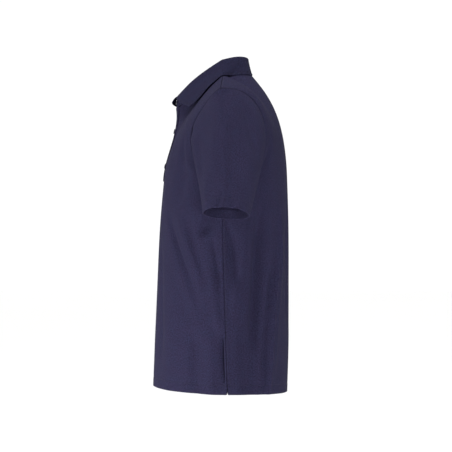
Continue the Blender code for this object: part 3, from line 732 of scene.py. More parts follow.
class Seams:
    """Pairs of edges that are sewn together, each drawn in to a fine groove."""

    PLACE_GRID = 0.02 * MM  # points closer than this are one place of a seam
    MITRE_LEAST = 0.25  # weaker directions of a seam's normals are left out
    GROOVE = 1.5 * MM
    GROOVE_WIDTH = 1.1 * MM
    WELT = 0.25 * MM  # swelling where the seam allowances lie
    WELT_PLACE = 4.0 * MM
    WELT_WIDTH = 2.4 * MM
    # Widths of the painted shade beside the seams
    SEAM_SHADE_WIDTH = 0.6 * MM
    ARMHOLE_SEAM_SHADE_WIDTH = 1.8 * MM  # the sleeve's seam is pressed to the body; its painted shade is wider, so the line shows darker

    def __init__(self) -> None:
        """Starts with no seams."""
        self.pairs: list[tuple[Edge, Edge]] = []

    def join(self, first: Edge, second: Edge) -> None:
        """Adds a seam between two edges that share their points."""
        self.pairs.append((first, second))

    @classmethod
    def profile(cls, distance: Array) -> Array:
        """How far cloth stands out at a distance from a seam, 0 on the seam itself."""
        groove = -cls.GROOVE * np.exp(-(distance / cls.GROOVE_WIDTH) ** 2)
        welt = cls.WELT * np.exp(-((distance - cls.WELT_PLACE) / cls.WELT_WIDTH) ** 2)
        return np.where(distance > 0, groove + welt, 0.0)

    @staticmethod
    def paint_seam_shade(sheet: Cloth, distance: Array, width: float | Array) -> None:
        """Paints shade on a sheet's cloth near a seam, over a given width, where the seam's groove lies."""
        sheet.painted_seam_shade = np.maximum(sheet.painted_seam_shade, np.exp(-(distance / width) ** 4))

    def sew(self) -> None:
        """Cuts the edges that meet in each seam on one mitre and sinks them."""
        meeting: dict[tuple, dict] = {}
        for sheet, rows, columns in (edge for pair in self.pairs for edge in pair):
            height, width = sheet.points.shape[:2]
            for row, column in np.broadcast(rows, columns):
                cell = (row % height, column % width)
                key = tuple(np.round(sheet.points[cell] / self.PLACE_GRID).astype(int))
                meeting.setdefault(key, {})[(sheet.name, cell)] = (sheet, cell)
        for found in meeting.values():
            normals = np.array([sheet.normals[cell] for sheet, cell in found.values()])
            mitre = np.linalg.pinv(normals, rcond=self.MITRE_LEAST) @ np.ones(len(normals))
            for sheet, cell in found.values():
                sheet.lean[cell] = mitre
                sheet.shift[cell] = sheet.shift[cell] - mitre * self.GROOVE
                sheet.rounding[cell] = 0.0


# -------- sewing


@dataclass
class Needlework:
    """Stitches of one piece: short swells of thread that dip into the cloth at both ends."""

    name: str
    # Real thread is 0.3 mm thick; drawn at 0.5 mm, so that it shows
    thread: float = 0.5 * MM
    pitch: float = 3.1 * MM
    length: float = 2.5 * MM
    sides: int = 5
    starts: list[Array] = field(default_factory=list)
    ends: list[Array] = field(default_factory=list)
    normals: list[Array] = field(default_factory=list)

    RING_PLACES = np.array((0.0, 0.22, 0.78, 1.0))  # shares of a stitch's length
    RING_SIZES = np.array((0.35, 1.0, 1.0, 0.35))  # shares of the thread's radius
    RING_LIFTS = np.array((-0.7, 0.45, 0.45, -0.7))  # the same, out of the cloth

    def line(self, cloth: Cloth, rows: Sequence[float], columns: Sequence[float]) -> None:
        """Adds a row of stitches along a line on a cloth's face.

        Args:
            cloth: The sheet that it lies on.
            rows: Fractional row indices of the line's points.
            columns: Their fractional column indices.
        """
        steps = np.arange(len(rows))
        fine = np.linspace(0, steps[-1], max(FINE_STEPS, 6 * len(rows)))
        line, normals = cloth.face_at(np.interp(fine, steps, rows), np.interp(fine, steps, columns))
        run = run_along(line)
        starts = np.arange(0.5 * self.pitch, run[-1] - self.length, self.pitch)
        self.starts.append(read_run(run, line, starts))
        self.ends.append(read_run(run, line, starts + self.length))
        self.normals.append(unit(read_run(run, normals, starts + self.length / 2)))

    def bar(self, start: Array, end: Array, normal: Array) -> None:
        """Adds single stitches from rows of starts to rows of ends."""
        self.starts.append(start)
        self.ends.append(end)
        self.normals.append(np.broadcast_to(normal, start.shape))

    def build(self) -> Object:
        """All the stitches as one mesh."""
        start, end = np.concatenate(self.starts), np.concatenate(self.ends)
        normal = np.concatenate(self.normals)
        way = unit(end - start)
        aside = unit(np.cross(way, normal))
        up = np.cross(aside, way)
        turns = np.arange(self.sides) * 2 * math.pi / self.sides
        lift = self.RING_LIFTS[:, None] * self.thread / 2
        thick = self.RING_SIZES[:, None, None] * self.thread / 2
        centre = start[:, None] + (end - start)[:, None] * self.RING_PLACES[:, None]
        centre = centre + up[:, None] * lift
        ring = aside[:, None] * np.cos(turns)[:, None] + up[:, None] * np.sin(turns)[:, None]
        points = centre[:, :, None] + ring[:, None] * thick
        each = len(lift) * self.sides
        faces = []
        for low in range(0, each - self.sides, self.sides):
            high = low + self.sides
            for i in range(self.sides):
                after = (i + 1) % self.sides
                faces.append((low + i, high + i, high + after, low + after))
        caps = np.array((range(self.sides), range(each - 1, each - 1 - self.sides, -1)))
        first = (np.arange(len(start)) * each)[:, None, None]
        quads = (np.array(faces) + first).reshape(-1, 4).tolist()
        mesh = bpy.data.meshes.new(self.name)
        mesh.from_pydata(points.reshape(-1, 3).tolist(), [],
                         quads + (caps + first).reshape(-1, self.sides).tolist())
        mesh.shade_smooth()
        return add_object(self.name, mesh)


class Wardrobe:
    """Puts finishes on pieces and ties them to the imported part."""

    def __init__(self) -> None:
        """Makes each finish once."""
        self.pique = PiqueKnit().material()
        # Cotton flat-knitted in fine upright ribs: denser and a little darker than the pique
        self.rib = PiqueKnit(
            name="flat_knit_cotton", pit_shade="#100f1c", cell="#191727", worn="#1c1b2c",
            cell_across=1.2 * MM, cell_down=1.6 * MM, relief=0.2 * MM,
        ).material()
        self.thread = SewingThread().material()
        self.polyester = TurnedPolyester().material()

    def dress(self, piece: Object, material: Material, slot: Slot,
              *nodes: str) -> Object:
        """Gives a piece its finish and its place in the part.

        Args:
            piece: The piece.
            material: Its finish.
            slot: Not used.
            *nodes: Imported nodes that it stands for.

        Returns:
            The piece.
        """
        piece.data.materials.append(material)
        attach(piece, BODY)
        if nodes:
            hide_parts(*nodes)
        log.info("%s: %d faces", piece.name, len(piece.data.polygons))
        return piece

    def cloth(self, sheet: Cloth, node: str) -> Object:
        """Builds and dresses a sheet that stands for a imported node."""
        finish = self.rib if node.startswith("collar") else self.pique
        return self.dress(sheet.build(), finish, Slot.CLOTH, node)

    def sewing(self, work: Needlework) -> Object:
        """Builds and dresses one piece's stitches."""
        return self.dress(work.build(), self.thread, Slot.CLOTH)


@dataclass(frozen=True)
class Hem:
    """A hem turned inside: its stitches draw the cloth in, and it puckers along them."""

    turn: float = 20 * MM
    ply: float = 1.0 * MM  # how much thicker the doubled cloth is
    stitches: float = 19.5 * MM  # their distance from the edge
    groove: float = 0.55 * MM
    groove_width: float = 1.6 * MM
    pucker: float = 0.06 * MM
    swell: float = 0.18 * MM  # puckers between the stitches and the edge
    swell_place: float = 12 * MM
    swell_width: float = 7 * MM
    rows: tuple[float, ...] = (  # the sheet's rows near the edge, by their distance from it
        0.0, 1 * MM, 4 * MM, 8 * MM, 12 * MM, 16 * MM, 18.4 * MM, 20 * MM, 21.6 * MM,
    )

    def depth(self, reach: Array, waves: Array) -> Array:
        """How far cloth at a distance from the edge stands out, with waves along the hem."""
        pressed = np.exp(-((reach - self.stitches) / self.groove_width) ** 2)
        loose = np.exp(-((reach - self.swell_place) / self.swell_width) ** 2)
        return self.swell * waves * loose - pressed * (self.groove + self.pucker * waves)

    def double(self, sheet: Cloth, reach: Array) -> None:
        """Thickens a sheet on its inside as far as the hem is turned."""
        sheet.inner[reach <= self.turn + 0.1 * MM] += self.ply


# -------- trunk


@dataclass(frozen=True)
class PanelCut:
    """What the front or the back panel has of its own."""

    half: Half
    name: str
    node: str
    neck_share: float  # share of a half panel's strands that end at the neck
    hem_rise: float  # how far the hem's middle lies above its sides
    hem_power: float  # the higher, the wider the hem keeps that
    flat: tuple[float, float]
    area: float
    strands: tuple[Strand, ...]
    armhole: tuple[ArmholeStep, ...]
    left_creases: tuple[Crease, ...]
    right_creases: tuple[Crease, ...]


# Each side's first creases are the solids' folds. Finer, deeper ones lie on them, and the last
# is a hollow that runs down from the armhole
FRONT_CUT = PanelCut(
    half=Half.FRONT, name="front_panel", node="front", neck_share=0.42, hem_rise=7 * MM,
    hem_power=2.0, flat=(0.58, 0.72), area=0.349,
    strands=(
        Strand(0.00, 0.95, 1.00, 99.0, 0.0),
        Strand(0.20, 1.10, 1.00, 76.0, 20.0),
        Strand(0.42, 1.30, 0.95, 46.0, 35.0),
        Strand(0.75, 1.50, 1.05, 38.0, 5.0),
        Strand(1.00, 1.50, 0.95, 34.0, 0.0),
    ),
    armhole=(
        ArmholeStep(0.0, 1.000, 0.000), ArmholeStep(0.2, 0.845, 0.050),
        ArmholeStep(0.4, 0.735, 0.190), ArmholeStep(0.6, 0.712, 0.410),
        ArmholeStep(0.8, 0.840, 0.690), ArmholeStep(0.9, 0.938, 0.850),
        ArmholeStep(0.96, 0.986, 0.940), ArmholeStep(1.0, 1.000, 1.000),
    ),
    left_creases=(
        Crease(0.44, -0.26, 0.80, -0.47, 19 * MM, -3.5 * MM),
        Crease(0.58, -0.42, 0.76, -0.54, 17 * MM, -3 * MM),
        Crease(0.79, -0.54, 0.79, -0.69, 18 * MM, -3 * MM),
        Crease(0.69, -0.285, 0.885, -0.465, 9 * MM, -6 * MM),
        Crease(0.955, -0.262, 0.83, -0.352, 13 * MM, -9 * MM),
        Crease(0.42, -0.285, 0.835, -0.53, 9 * MM, -6 * MM, 0.05),
        Crease(0.62, -0.29, 0.83, -0.44, 9 * MM, 4 * MM),
        Crease(0.885, -0.40, 0.955, -0.56, 10 * MM, 4.5 * MM),
        Crease(0.915, -0.335, 0.985, -0.475, 5.5 * MM, -4.5 * MM),
        Crease(0.775, -0.525, 0.775, -0.72, 11 * MM, -6 * MM),
        Crease(0.885, -0.53, 0.88, -0.72, 11 * MM, 4 * MM),
        Crease(0.999, -0.535, 0.998, -0.672, 5 * MM, -8.5 * MM, -0.022),
        Crease(0.56, -0.46, 0.56, -0.74, 26 * MM, 4 * MM),
        Crease(0.28, -0.33, 0.42, -0.64, 13 * MM, -3.5 * MM, 0.03),
        Crease(0.80, -0.11, 0.60, -0.30, 20 * MM, -6 * MM, -0.04),
    ),
    right_creases=(
        Crease(0.40, -0.28, 0.76, -0.50, 20 * MM, -3.5 * MM),
        Crease(0.74, -0.52, 0.76, -0.69, 18 * MM, -3 * MM),
        Crease(0.40, -0.27, 0.72, -0.45, 10 * MM, -6 * MM, 0.03),
        Crease(0.58, -0.30, 0.85, -0.43, 10 * MM, 4 * MM),
        Crease(0.58, -0.45, 0.83, -0.56, 9 * MM, -5.5 * MM),
        Crease(0.90, -0.34, 0.915, -0.52, 10 * MM, 4 * MM),
        Crease(0.76, -0.53, 0.75, -0.71, 11 * MM, -5.5 * MM),
        Crease(0.996, -0.56, 0.99, -0.672, 5.5 * MM, -5 * MM, -0.022),
        Crease(0.82, -0.12, 0.58, -0.31, 20 * MM, -6 * MM, -0.04),
    ),
)
BACK_CUT = PanelCut(
    half=Half.BACK, name="back_panel", node="back", neck_share=0.36, hem_rise=-6 * MM,
    hem_power=1.0, flat=(0.57, 0.77), area=0.368,
    strands=(
        Strand(0.00, 1.78, 0.72, 51.0, 0.0),
        Strand(0.20, 1.76, 0.85, 43.0, 20.0),
        Strand(0.36, 1.82, 1.05, 26.0, 40.0),
        Strand(0.75, 1.90, 1.25, 4.0, 5.0),
        Strand(1.00, 1.90, 1.15, 2.0, 0.0),
    ),
    armhole=(
        ArmholeStep(0.0, 1.000, 0.000), ArmholeStep(0.2, 0.830, 0.035),
        ArmholeStep(0.4, 0.695, 0.150), ArmholeStep(0.6, 0.675, 0.360),
        ArmholeStep(0.8, 0.812, 0.660), ArmholeStep(0.9, 0.918, 0.830),
        ArmholeStep(0.96, 0.979, 0.932), ArmholeStep(1.0, 1.000, 1.000),
    ),
    left_creases=(
        Crease(0.67, -0.29, 0.79, -0.65, 20 * MM, -5 * MM),
        Crease(0.43, -0.32, 0.64, -0.72, 16 * MM, 5 * MM),
        Crease(0.26, -0.28, 0.22, -0.56, 24 * MM, -4 * MM),
        Crease(0.93, -0.32, 0.86, -0.48, 18 * MM, -3 * MM),
        Crease(0.69, -0.25, 0.775, -0.60, 14 * MM, -14 * MM),
        Crease(0.75, -0.50, 0.80, -0.72, 13 * MM, -7 * MM),
        Crease(0.45, -0.31, 0.645, -0.74, 6.5 * MM, 9 * MM, 0.05),
        Crease(0.52, -0.36, 0.70, -0.73, 8 * MM, -6 * MM, 0.04),
        Crease(0.475, -0.26, 0.48, -0.45, 6.5 * MM, 6.5 * MM),
        Crease(0.845, -0.52, 0.845, -0.70, 13 * MM, -7 * MM),
        Crease(0.985, -0.30, 0.87, -0.46, 8 * MM, -4.5 * MM),
        Crease(0.80, -0.30, 0.93, -0.52, 11 * MM, 4.5 * MM),
        Crease(0.20, -0.20, 0.30, -0.56, 14 * MM, -6 * MM, -0.04),
        Crease(0.86, -0.10, 0.70, -0.33, 20 * MM, -6 * MM, -0.05),
    ),
    right_creases=(
        Crease(0.62, -0.30, 0.76, -0.62, 21 * MM, -4 * MM),
        Crease(0.40, -0.34, 0.58, -0.72, 17 * MM, 5 * MM),
        Crease(0.90, -0.30, 0.82, -0.50, 18 * MM, -3 * MM),
        Crease(0.64, -0.30, 0.73, -0.50, 9 * MM, -7.5 * MM, -0.02),
        Crease(0.70, -0.45, 0.77, -0.68, 10 * MM, -7 * MM),
        Crease(0.40, -0.34, 0.58, -0.73, 6 * MM, 6 * MM, 0.03),
        Crease(0.98, -0.32, 0.84, -0.48, 8 * MM, -6 * MM),
        Crease(0.88, -0.55, 0.86, -0.71, 12 * MM, -6 * MM),
        Crease(0.84, -0.11, 0.68, -0.32, 20 * MM, -6 * MM, -0.05),
    ),
)


@dataclass
class Trunk:
    """The shirt's body: front and back panel with hem, vents and the cut under the placket."""

    wall: float = 1.6 * MM
    chest_level: float = -0.217
    hem_level: float = -0.6785
    hem: Hem = Hem()
    hem_end: float = 26 * MM  # where the body's rows start
    vent_length: float = 40 * MM
    vent_slit: float = 0.03 * MM
    vent_flare: float = 2.8 * MM  # how far the corners stand apart, below this height
    vent_corner: float = 10 * MM
    vent_fade: float = 12 * MM
    vent_groove: float = 0.3  # share of a seam's groove that runs on beside the vents
    vent_stitch: float = 7 * MM  # the stitches' distance from the edge
    vent_bar: float = 5 * MM  # and how far above the vent they cross to it
    seam_stitch: float = 4.6 * MM
    seam_hollow: float = 2.0 * MM  # how far the cloth sinks in on both sides of the side seam
    seam_hollow_place: float = 24 * MM
    seam_hollow_start: float = 10 * MM
    seam_hollow_end: float = 60 * MM
    sections: tuple[Section, ...] = (
        Section(-0.6785, 0.1980, 0.1548, 0.1382, 2.25),
        Section(-0.560, 0.1990, 0.1500, 0.1408, 2.25),
        Section(-0.430, 0.2005, 0.1446, 0.1413, 2.30),
        Section(-0.320, 0.2040, 0.1392, 0.1408, 2.35),
        Section(-0.217, 0.2080, 0.1303, 0.1378, 2.40),
    )
    neck_front: tuple[Point, ...] = (
        Point(0.0000, -0.1030, -0.0645),
        Point(0.0200, -0.0945, -0.0590),
        Point(0.0410, -0.0730, -0.0420),
        Point(0.0575, -0.0400, -0.0165),
        Point(0.0660, -0.0020, 0.0060),
    )
    neck_back: tuple[Point, ...] = (
        Point(0.0660, -0.0020, 0.0060),
        Point(0.0590, 0.0300, 0.0120),
        Point(0.0350, 0.0490, 0.0135),
        Point(0.0000, 0.0545, 0.0140),
    )
    shoulder: tuple[Point, ...] = (
        Point(0.0660, -0.0020, 0.0060),
        Point(0.1050, -0.0035, -0.0045),
        Point(0.1600, -0.0055, -0.0185),
        Point(0.2150, -0.0075, -0.0345),
    )
    seam_drift: tuple[SeamDrift, ...] = (
        SeamDrift(-0.6785, 9.0 * MM),
        SeamDrift(-0.505, 2.4 * MM),
        SeamDrift(-0.320, -2.2 * MM),
        SeamDrift(-0.217, 0.0),
    )
    crease_taper: float = 0.3
    crease_margin: float = 0.03  # share of a half panel beside the seams where creases fade
    crease_end: float = 25 * MM  # and how far below the neck and shoulder seams they do
    upper_height: float = 0.21  # creases above the chest read a strand's rise as this height
    ripple: float = 0.8 * MM
    cut_half_width: float = 12 * MM
    placket_foot: float = 8 * MM
    tie_start: float = 0.2  # share across a panel from which its rows follow the armhole
    strips: tuple[float, ...] = (0.0, 4 * MM, 8 * MM, 12 * MM, 15.5 * MM)
    seam_steps: tuple[float, ...] = (
        10 * MM, 6 * MM, 4 * MM, 2.6 * MM, 1.6 * MM, 0.9 * MM, 0.4 * MM,
    )
    neck_steps: int = 22
    shoulder_steps: int = 44
    arm_steps: int = 56
    body_steps: int = 118

    def __post_init__(self) -> None:
        """Builds both panels; the collar, sleeves and placket read them."""
        self.girths = {half: float(self.chest_line(half)[1][-1]) for half in Half}
        self.levels = self.body_levels()
        self.rises = self.arm_rises()
        self.chest_row = len(self.levels) - 1
        self.foot_row = self.chest_row - 1
        self.cut_columns = self.strips.index(self.cut_half_width)
        self.front = self.panel(FRONT_CUT)
        self.back = self.panel(BACK_CUT)
        self.middle = self.front.points.shape[1] // 2

    def chest_line(self, half: Half) -> tuple[Array, Array]:
        """Angles round half the chest section, from the middle to the side, and the run there."""
        chest = self.sections[-1]
        depth = chest.front_depth if half == Half.FRONT else chest.back_depth
        angles = np.linspace(0.0, math.pi / 2, FINE_STEPS)
        x = chest.half_width * np.sin(angles) ** (2 / chest.roundness)
        y = depth * np.cos(angles) ** (2 / chest.roundness)
        return angles, run_along(np.stack((x, y), axis=-1))

    def body_point(self, cut: PanelCut, across: Array, level: Array) -> Array:
        """Points of the left half of the hanging body.

        Args:
            cut: The panel.
            across: 0 in its middle, 1 at the side seam.
            level: Their levels.

        Returns:
            The points.
        """
        half_width, front_depth, back_depth, roundness = read_table(self.sections, level)
        own, other = self.girths[cut.half], self.girths[Half(-cut.half)]
        drift = read_table(self.seam_drift, level)[0]
        run = across * (own - cut.half * drift)
        past = run > own
        angle = np.where(
            past,
            np.interp(other - (run - own), *self.chest_line(Half(-cut.half))[::-1]),
            np.interp(run, *self.chest_line(cut.half)[::-1]),
        )
        facing = np.where(past, -cut.half, cut.half)
        drop = (self.chest_level - level) / (self.chest_level - self.hem_level)
        rise = cut.hem_rise * drop * (1.0 - ease(across ** cut.hem_power))
        x = half_width * np.sin(angle) ** (2 / roundness)
        depth = np.where(facing == Half.FRONT, front_depth, back_depth)
        y = facing * depth * np.cos(angle) ** (2 / roundness)
        return np.stack((x, y, level + rise), axis=-1)

    def top_line(self, cut: PanelCut, across: Array) -> Array:
        """Upper edge of the left half: half the neck seam, then the shoulder seam."""
        share = cut.neck_share
        way = np.clip(across / share, 0, 1)
        if cut.half == Half.FRONT:
            neck = along(self.neck_front, way)
        else:
            neck = along(self.neck_back, 1 - way)
        shoulder = along(self.shoulder, np.clip((across - share) / (1 - share), 0, 1))
        return np.where((across < share)[..., None], neck, shoulder)

    def upper_point(self, cut: PanelCut, across: Array, rise: Array) -> Array:
        """Points of the left half above the chest.

        Args:
            cut: The panel.
            across: 0 in its middle, 1 at the end of the shoulder.
            rise: 0 on the chest line, 1 on the neck or shoulder seam.

        Returns:
            The points.
        """
        foot = self.body_point(cut, across, np.full_like(across, self.chest_level))
        below = self.body_point(cut, across, np.full_like(across, self.chest_level - 2 * MM))
        top = self.top_line(cut, across)
        chord = np.linalg.norm(top - foot, axis=-1, keepdims=True)
        lift, reach, pitch, splay = read_table(cut.strands, across)
        pitch, splay = np.radians(pitch), np.radians(splay)
        level = np.cos(pitch)
        last = np.stack((-level * np.sin(splay), -cut.half * level * np.cos(splay), np.sin(pitch)), axis=-1)
        start = unit(foot - below) * lift[..., None] * chord
        return hermite(foot, start, top, last * reach[..., None] * chord, rise[..., None])

    def panel_columns(self, cut: PanelCut) -> Array:
        """Where a half panel's columns stand: to the neck's end, then closer to the seam."""
        share, girth = cut.neck_share, self.girths[cut.half]
        if cut.half == Half.FRONT:
            strips = np.array(self.strips) / girth
            neck = np.concatenate((strips[:-1], np.linspace(strips[-1], share, self.neck_steps)))
        else:
            neck = np.linspace(0.0, share, self.neck_end(BACK_CUT) + 1)
        close = 1.0 - np.array(self.seam_steps) / girth
        outer = np.linspace(share, close[0], self.shoulder_steps + 1)[1:]
        return np.concatenate((neck, outer, close[1:], (1.0,)))

    def neck_end(self, cut: PanelCut) -> int:
        """Index of a half panel's column at the inner end of the shoulder seam."""
        return self.neck_steps + (len(self.strips) - 2 if cut.half == Half.FRONT else 0)

    def body_levels(self) -> Array:
        """Levels of the rows from the hem to the chest line."""
        foot = self.chest_level - self.placket_foot
        hem = self.hem_level + np.array(self.hem.rows)
        plain = np.linspace(self.hem_level + self.hem_end, foot, self.body_steps + 1)
        return np.concatenate((hem, plain, (self.chest_level,)))

    def arm_rises(self) -> Array:
        """Ways up the armhole of the rows above the chest line, closer at the shoulder."""
        close = 1.0 - np.array(self.seam_steps) / self.upper_height
        return np.concatenate((np.linspace(0.0, close[0], self.arm_steps + 1)[1:], close[1:], (1.0,)))

    def strip_line(self, distance: float) -> Array:
        """Points of the left front, hem to neck, at one distance from the middle."""
        girth = self.girths[Half.FRONT]
        low_across = np.full_like(self.levels, distance / girth)
        high_across = np.full_like(self.rises, distance / girth)
        for _ in range(4):
            low = self.body_point(FRONT_CUT, low_across, self.levels)
            high = self.upper_point(FRONT_CUT, high_across, self.rises)
            if distance:
                low_across *= distance / low[:, 0]
                high_across *= distance / high[:, 0]
        return np.concatenate((low, high))

    def folds(self, cut: PanelCut, side: Side, across: Array, level: Array) -> Array:
        """How far the creases, and the hollow beside the side seam, move the cloth out.

        Args:
            cut: The panel.
            side: Which half of it.
            across: Columns of its points.
            level: Their levels; above the chest, the rise as a height.

        Returns:
            A depth for each point.
        """
        creases = cut.left_creases if side == Side.LEFT else cut.right_creases
        girth = self.girths[cut.half]
        depth = crease_depth(creases, across, level, girth, self.crease_taper)
        top = self.chest_level + self.upper_height
        depth *= ease((1.0 - across) / self.crease_margin) * ease((top - level) / self.crease_end)
        beside = (1.0 - across) * girth / self.seam_hollow_place
        below = ease((self.chest_level - self.seam_hollow_start - level) / self.seam_hollow_end)
        return depth - self.seam_hollow * below * beside * np.exp(1.0 - beside)

    def ripples(self, cut: PanelCut, side: Side, across: Array, level: Array) -> Array:
        """The slight unevenness of hanging cloth: a few long waves, still at the placket."""
        girth = self.girths[cut.half]
        along_x, turn = across * girth * side, 1.7 * cut.half + 0.6 * side
        waves = np.sin(along_x / 0.021 + 9.0 * level + turn) * np.sin(level / 0.055 + turn)
        waves = waves + 0.7 * np.sin(along_x / 0.034 - 14.0 * level + 2.1 * turn)
        still = ease((across * girth - 20 * MM) / (30 * MM)) * ease((1.0 - across) / 0.08)
        top = self.chest_level + self.upper_height
        return self.ripple * waves * still * ease((top - level) / (40 * MM))

    def half_panel(self, cut: PanelCut, side: Side, columns: Array) -> Array:
        """Points of one half of a panel, hem to shoulder, before seams and creases."""
        low = self.body_point(cut, *np.meshgrid(columns, self.levels))
        edge_across, edge_rise = (value[:, None] for value in read_table(cut.armhole, self.rises))
        share = cut.neck_share
        squeezed = share + (columns - share) * (edge_across - share) / (1.0 - share)
        across = np.where(columns <= share, columns, squeezed)
        tie = ease((columns - self.tie_start) / (1.0 - self.tie_start))
        rise = self.rises[:, None] * (1.0 - tie) + edge_rise * tie
        points = np.concatenate((low, self.upper_point(cut, across, rise)), axis=0)
        if cut.half == Half.FRONT:
            for column, distance in enumerate(self.strips):
                points[:, column] = self.strip_line(distance)
        return points * (side, 1.0, 1.0)

    def panel(self, cut: PanelCut) -> Cloth:
        """A whole panel with its creases, the grooves beside its seams and its hem."""
        columns = self.panel_columns(cut)
        first = Side.RIGHT if cut.half == Half.FRONT else Side.LEFT
        order = (first, Side(-first))
        halves = [self.half_panel(cut, side, columns) for side in order]
        points = np.concatenate((halves[0][:, :0:-1], halves[1]), axis=1)
        sheet = Cloth(cut.name, points, self.wall)

        heights = np.concatenate((self.levels, self.chest_level + self.rises * self.upper_height))
        across, level = np.meshgrid(columns, heights)
        depths = [
            self.folds(cut, side, across, level) + self.ripples(cut, side, across, level)
            for side in order
        ]
        depth = np.concatenate((depths[0][:, :0:-1], depths[1]), axis=1)
        # The last row and the outer columns are seams and stay where their neighbours are
        depth[-1] = 0.0
        beside = np.minimum(sheet.reach(1), sheet.reach(1, from_end=True))
        groove = Seams.profile(beside)
        groove[:self.vent_rows()] *= self.vent_groove
        top = sheet.reach(0, from_end=True)
        depth += groove + Seams.profile(top) * (beside > 0)
        # Painted shade beside the neck, shoulder, side and armhole seams
        Seams.paint_seam_shade(sheet, top, Seams.SEAM_SHADE_WIDTH)
        above = np.arange(len(points))[:, None] > self.chest_row
        Seams.paint_seam_shade(sheet, beside, np.where(above, Seams.ARMHOLE_SEAM_SHADE_WIDTH, Seams.SEAM_SHADE_WIDTH))
        low = sheet.reach(0)
        around = sheet.reach(1)
        # Puckers of uneven length along the hem
        waves = np.sin(around / (4.3 * MM)) + 0.6 * np.sin(around / (2.9 * MM) + 1.0)
        depth += self.hem.depth(low, waves)
        depth[:, (0, -1)] = 0.0
        sheet.press(depth)
        self.hem.double(sheet, low)
        if cut.half == Half.FRONT:
            middle = points.shape[1] // 2
            opened = slice(middle - self.cut_columns, middle + self.cut_columns)
            sheet.kept[self.chest_row:, opened] = False
        self.open_vents(sheet)
        return sheet

    def vent_rows(self, above: float = 0.0) -> int:
        """How many rows, from the hem, lie below the vents' tops or a height above them."""
        return int(np.sum(self.levels < self.hem_level + self.vent_length + above))

    def open_vents(self, sheet: Cloth) -> None:
        """Parts a panel's edges from the other panel's at the vents, most at the corners."""
        for column, inside in ((0, 1), (-1, -2)):
            fade = np.exp(-sheet.reach(1, from_end=column == -1) / self.vent_fade)[..., None]
            for row in range(self.vent_rows()):
                height = self.levels[row] - self.hem_level
                corner = max(0.0, 1.0 - height / self.vent_corner)
                apart = self.vent_slit * ease((self.vent_length - height) / self.vent_corner)
                pull = unit(sheet.points[row, inside] - sheet.points[row, column])
                sheet.shift[row] += pull * (apart + self.vent_flare * corner ** 2) * fade[row]

    def shoulder_columns(self, cut: PanelCut, column: int) -> range:
        """A panel's columns along one shoulder seam, from the neck out to the end column."""
        last = (self.front if cut.half == Half.FRONT else self.back).points.shape[1] - 1
        steps = last // 2 - self.neck_end(cut)
        return range(steps, -1, -1) if column == 0 else range(last - steps, last + 1)

    def join(self, seams: Seams) -> None:
        """Adds the side and shoulder seams; the vents' edges are free, and hang together."""
        low_rows = range(self.chest_row + 1)
        for front_column, back_column in ((-1, 0), (0, -1)):
            seams.join(Edge(self.front, low_rows, front_column), Edge(self.back, low_rows, back_column))
            seams.join(
                Edge(self.front, -1, self.shoulder_columns(FRONT_CUT, front_column)),
                Edge(self.back, -1, self.shoulder_columns(BACK_CUT, back_column)),
            )

    def armhole_ring(self, side: Side) -> Array:
        """The armhole's points, from the shoulder tip by the front and round."""
        front_column, back_column = (-1, 0) if side == Side.LEFT else (0, -1)
        down = self.front.points[self.chest_row:, front_column][::-1]
        up = self.back.points[self.chest_row:, back_column]
        return np.concatenate((down, up[1:-1]), axis=0)

    def topstitch(self, cut: PanelCut, sheet: Cloth) -> Needlework:
        """The hem's line, the lines beside the vents and, behind, beside the side seams."""
        work = Needlework(f"{cut.name}_stitches")
        count = sheet.points.shape[1]
        columns = np.arange(1, count - 1)
        work.line(sheet, sheet.inset(self.hem.stitches, 0)[columns], columns)
        rows = np.arange(len(self.levels))
        top = self.vent_rows(self.vent_bar) - 1
        for from_end, end in ((False, 0.5), (True, count - 1.5)):
            edge = sheet.inset(self.vent_stitch, 1, from_end)
            work.line(sheet, rows[:top + 1], edge[:top + 1])
            work.line(sheet, (top, top), (edge[top], end))
        if cut.half == Half.BACK:
            side_rows = rows[self.vent_rows(self.vent_bar + 1 * MM):]
            for from_end in (False, True):
                line = sheet.inset(self.seam_stitch, 1, from_end)
                work.line(sheet, side_rows, line[side_rows])
            inset = sheet.inset(self.seam_stitch, 0, from_end=True)
            for column in (0, -1):
                seam = list(self.shoulder_columns(cut, column))[:-2]
                work.line(sheet, inset[seam], seam)
        return work

    def dress(self, wardrobe: Wardrobe) -> None:
        """Builds both panels with their stitches."""
        for cut, sheet in ((FRONT_CUT, self.front), (BACK_CUT, self.back)):
            panel = wardrobe.cloth(sheet, cut.node)
            stitches = wardrobe.sewing(self.topstitch(cut, sheet))


# -------- sleeves


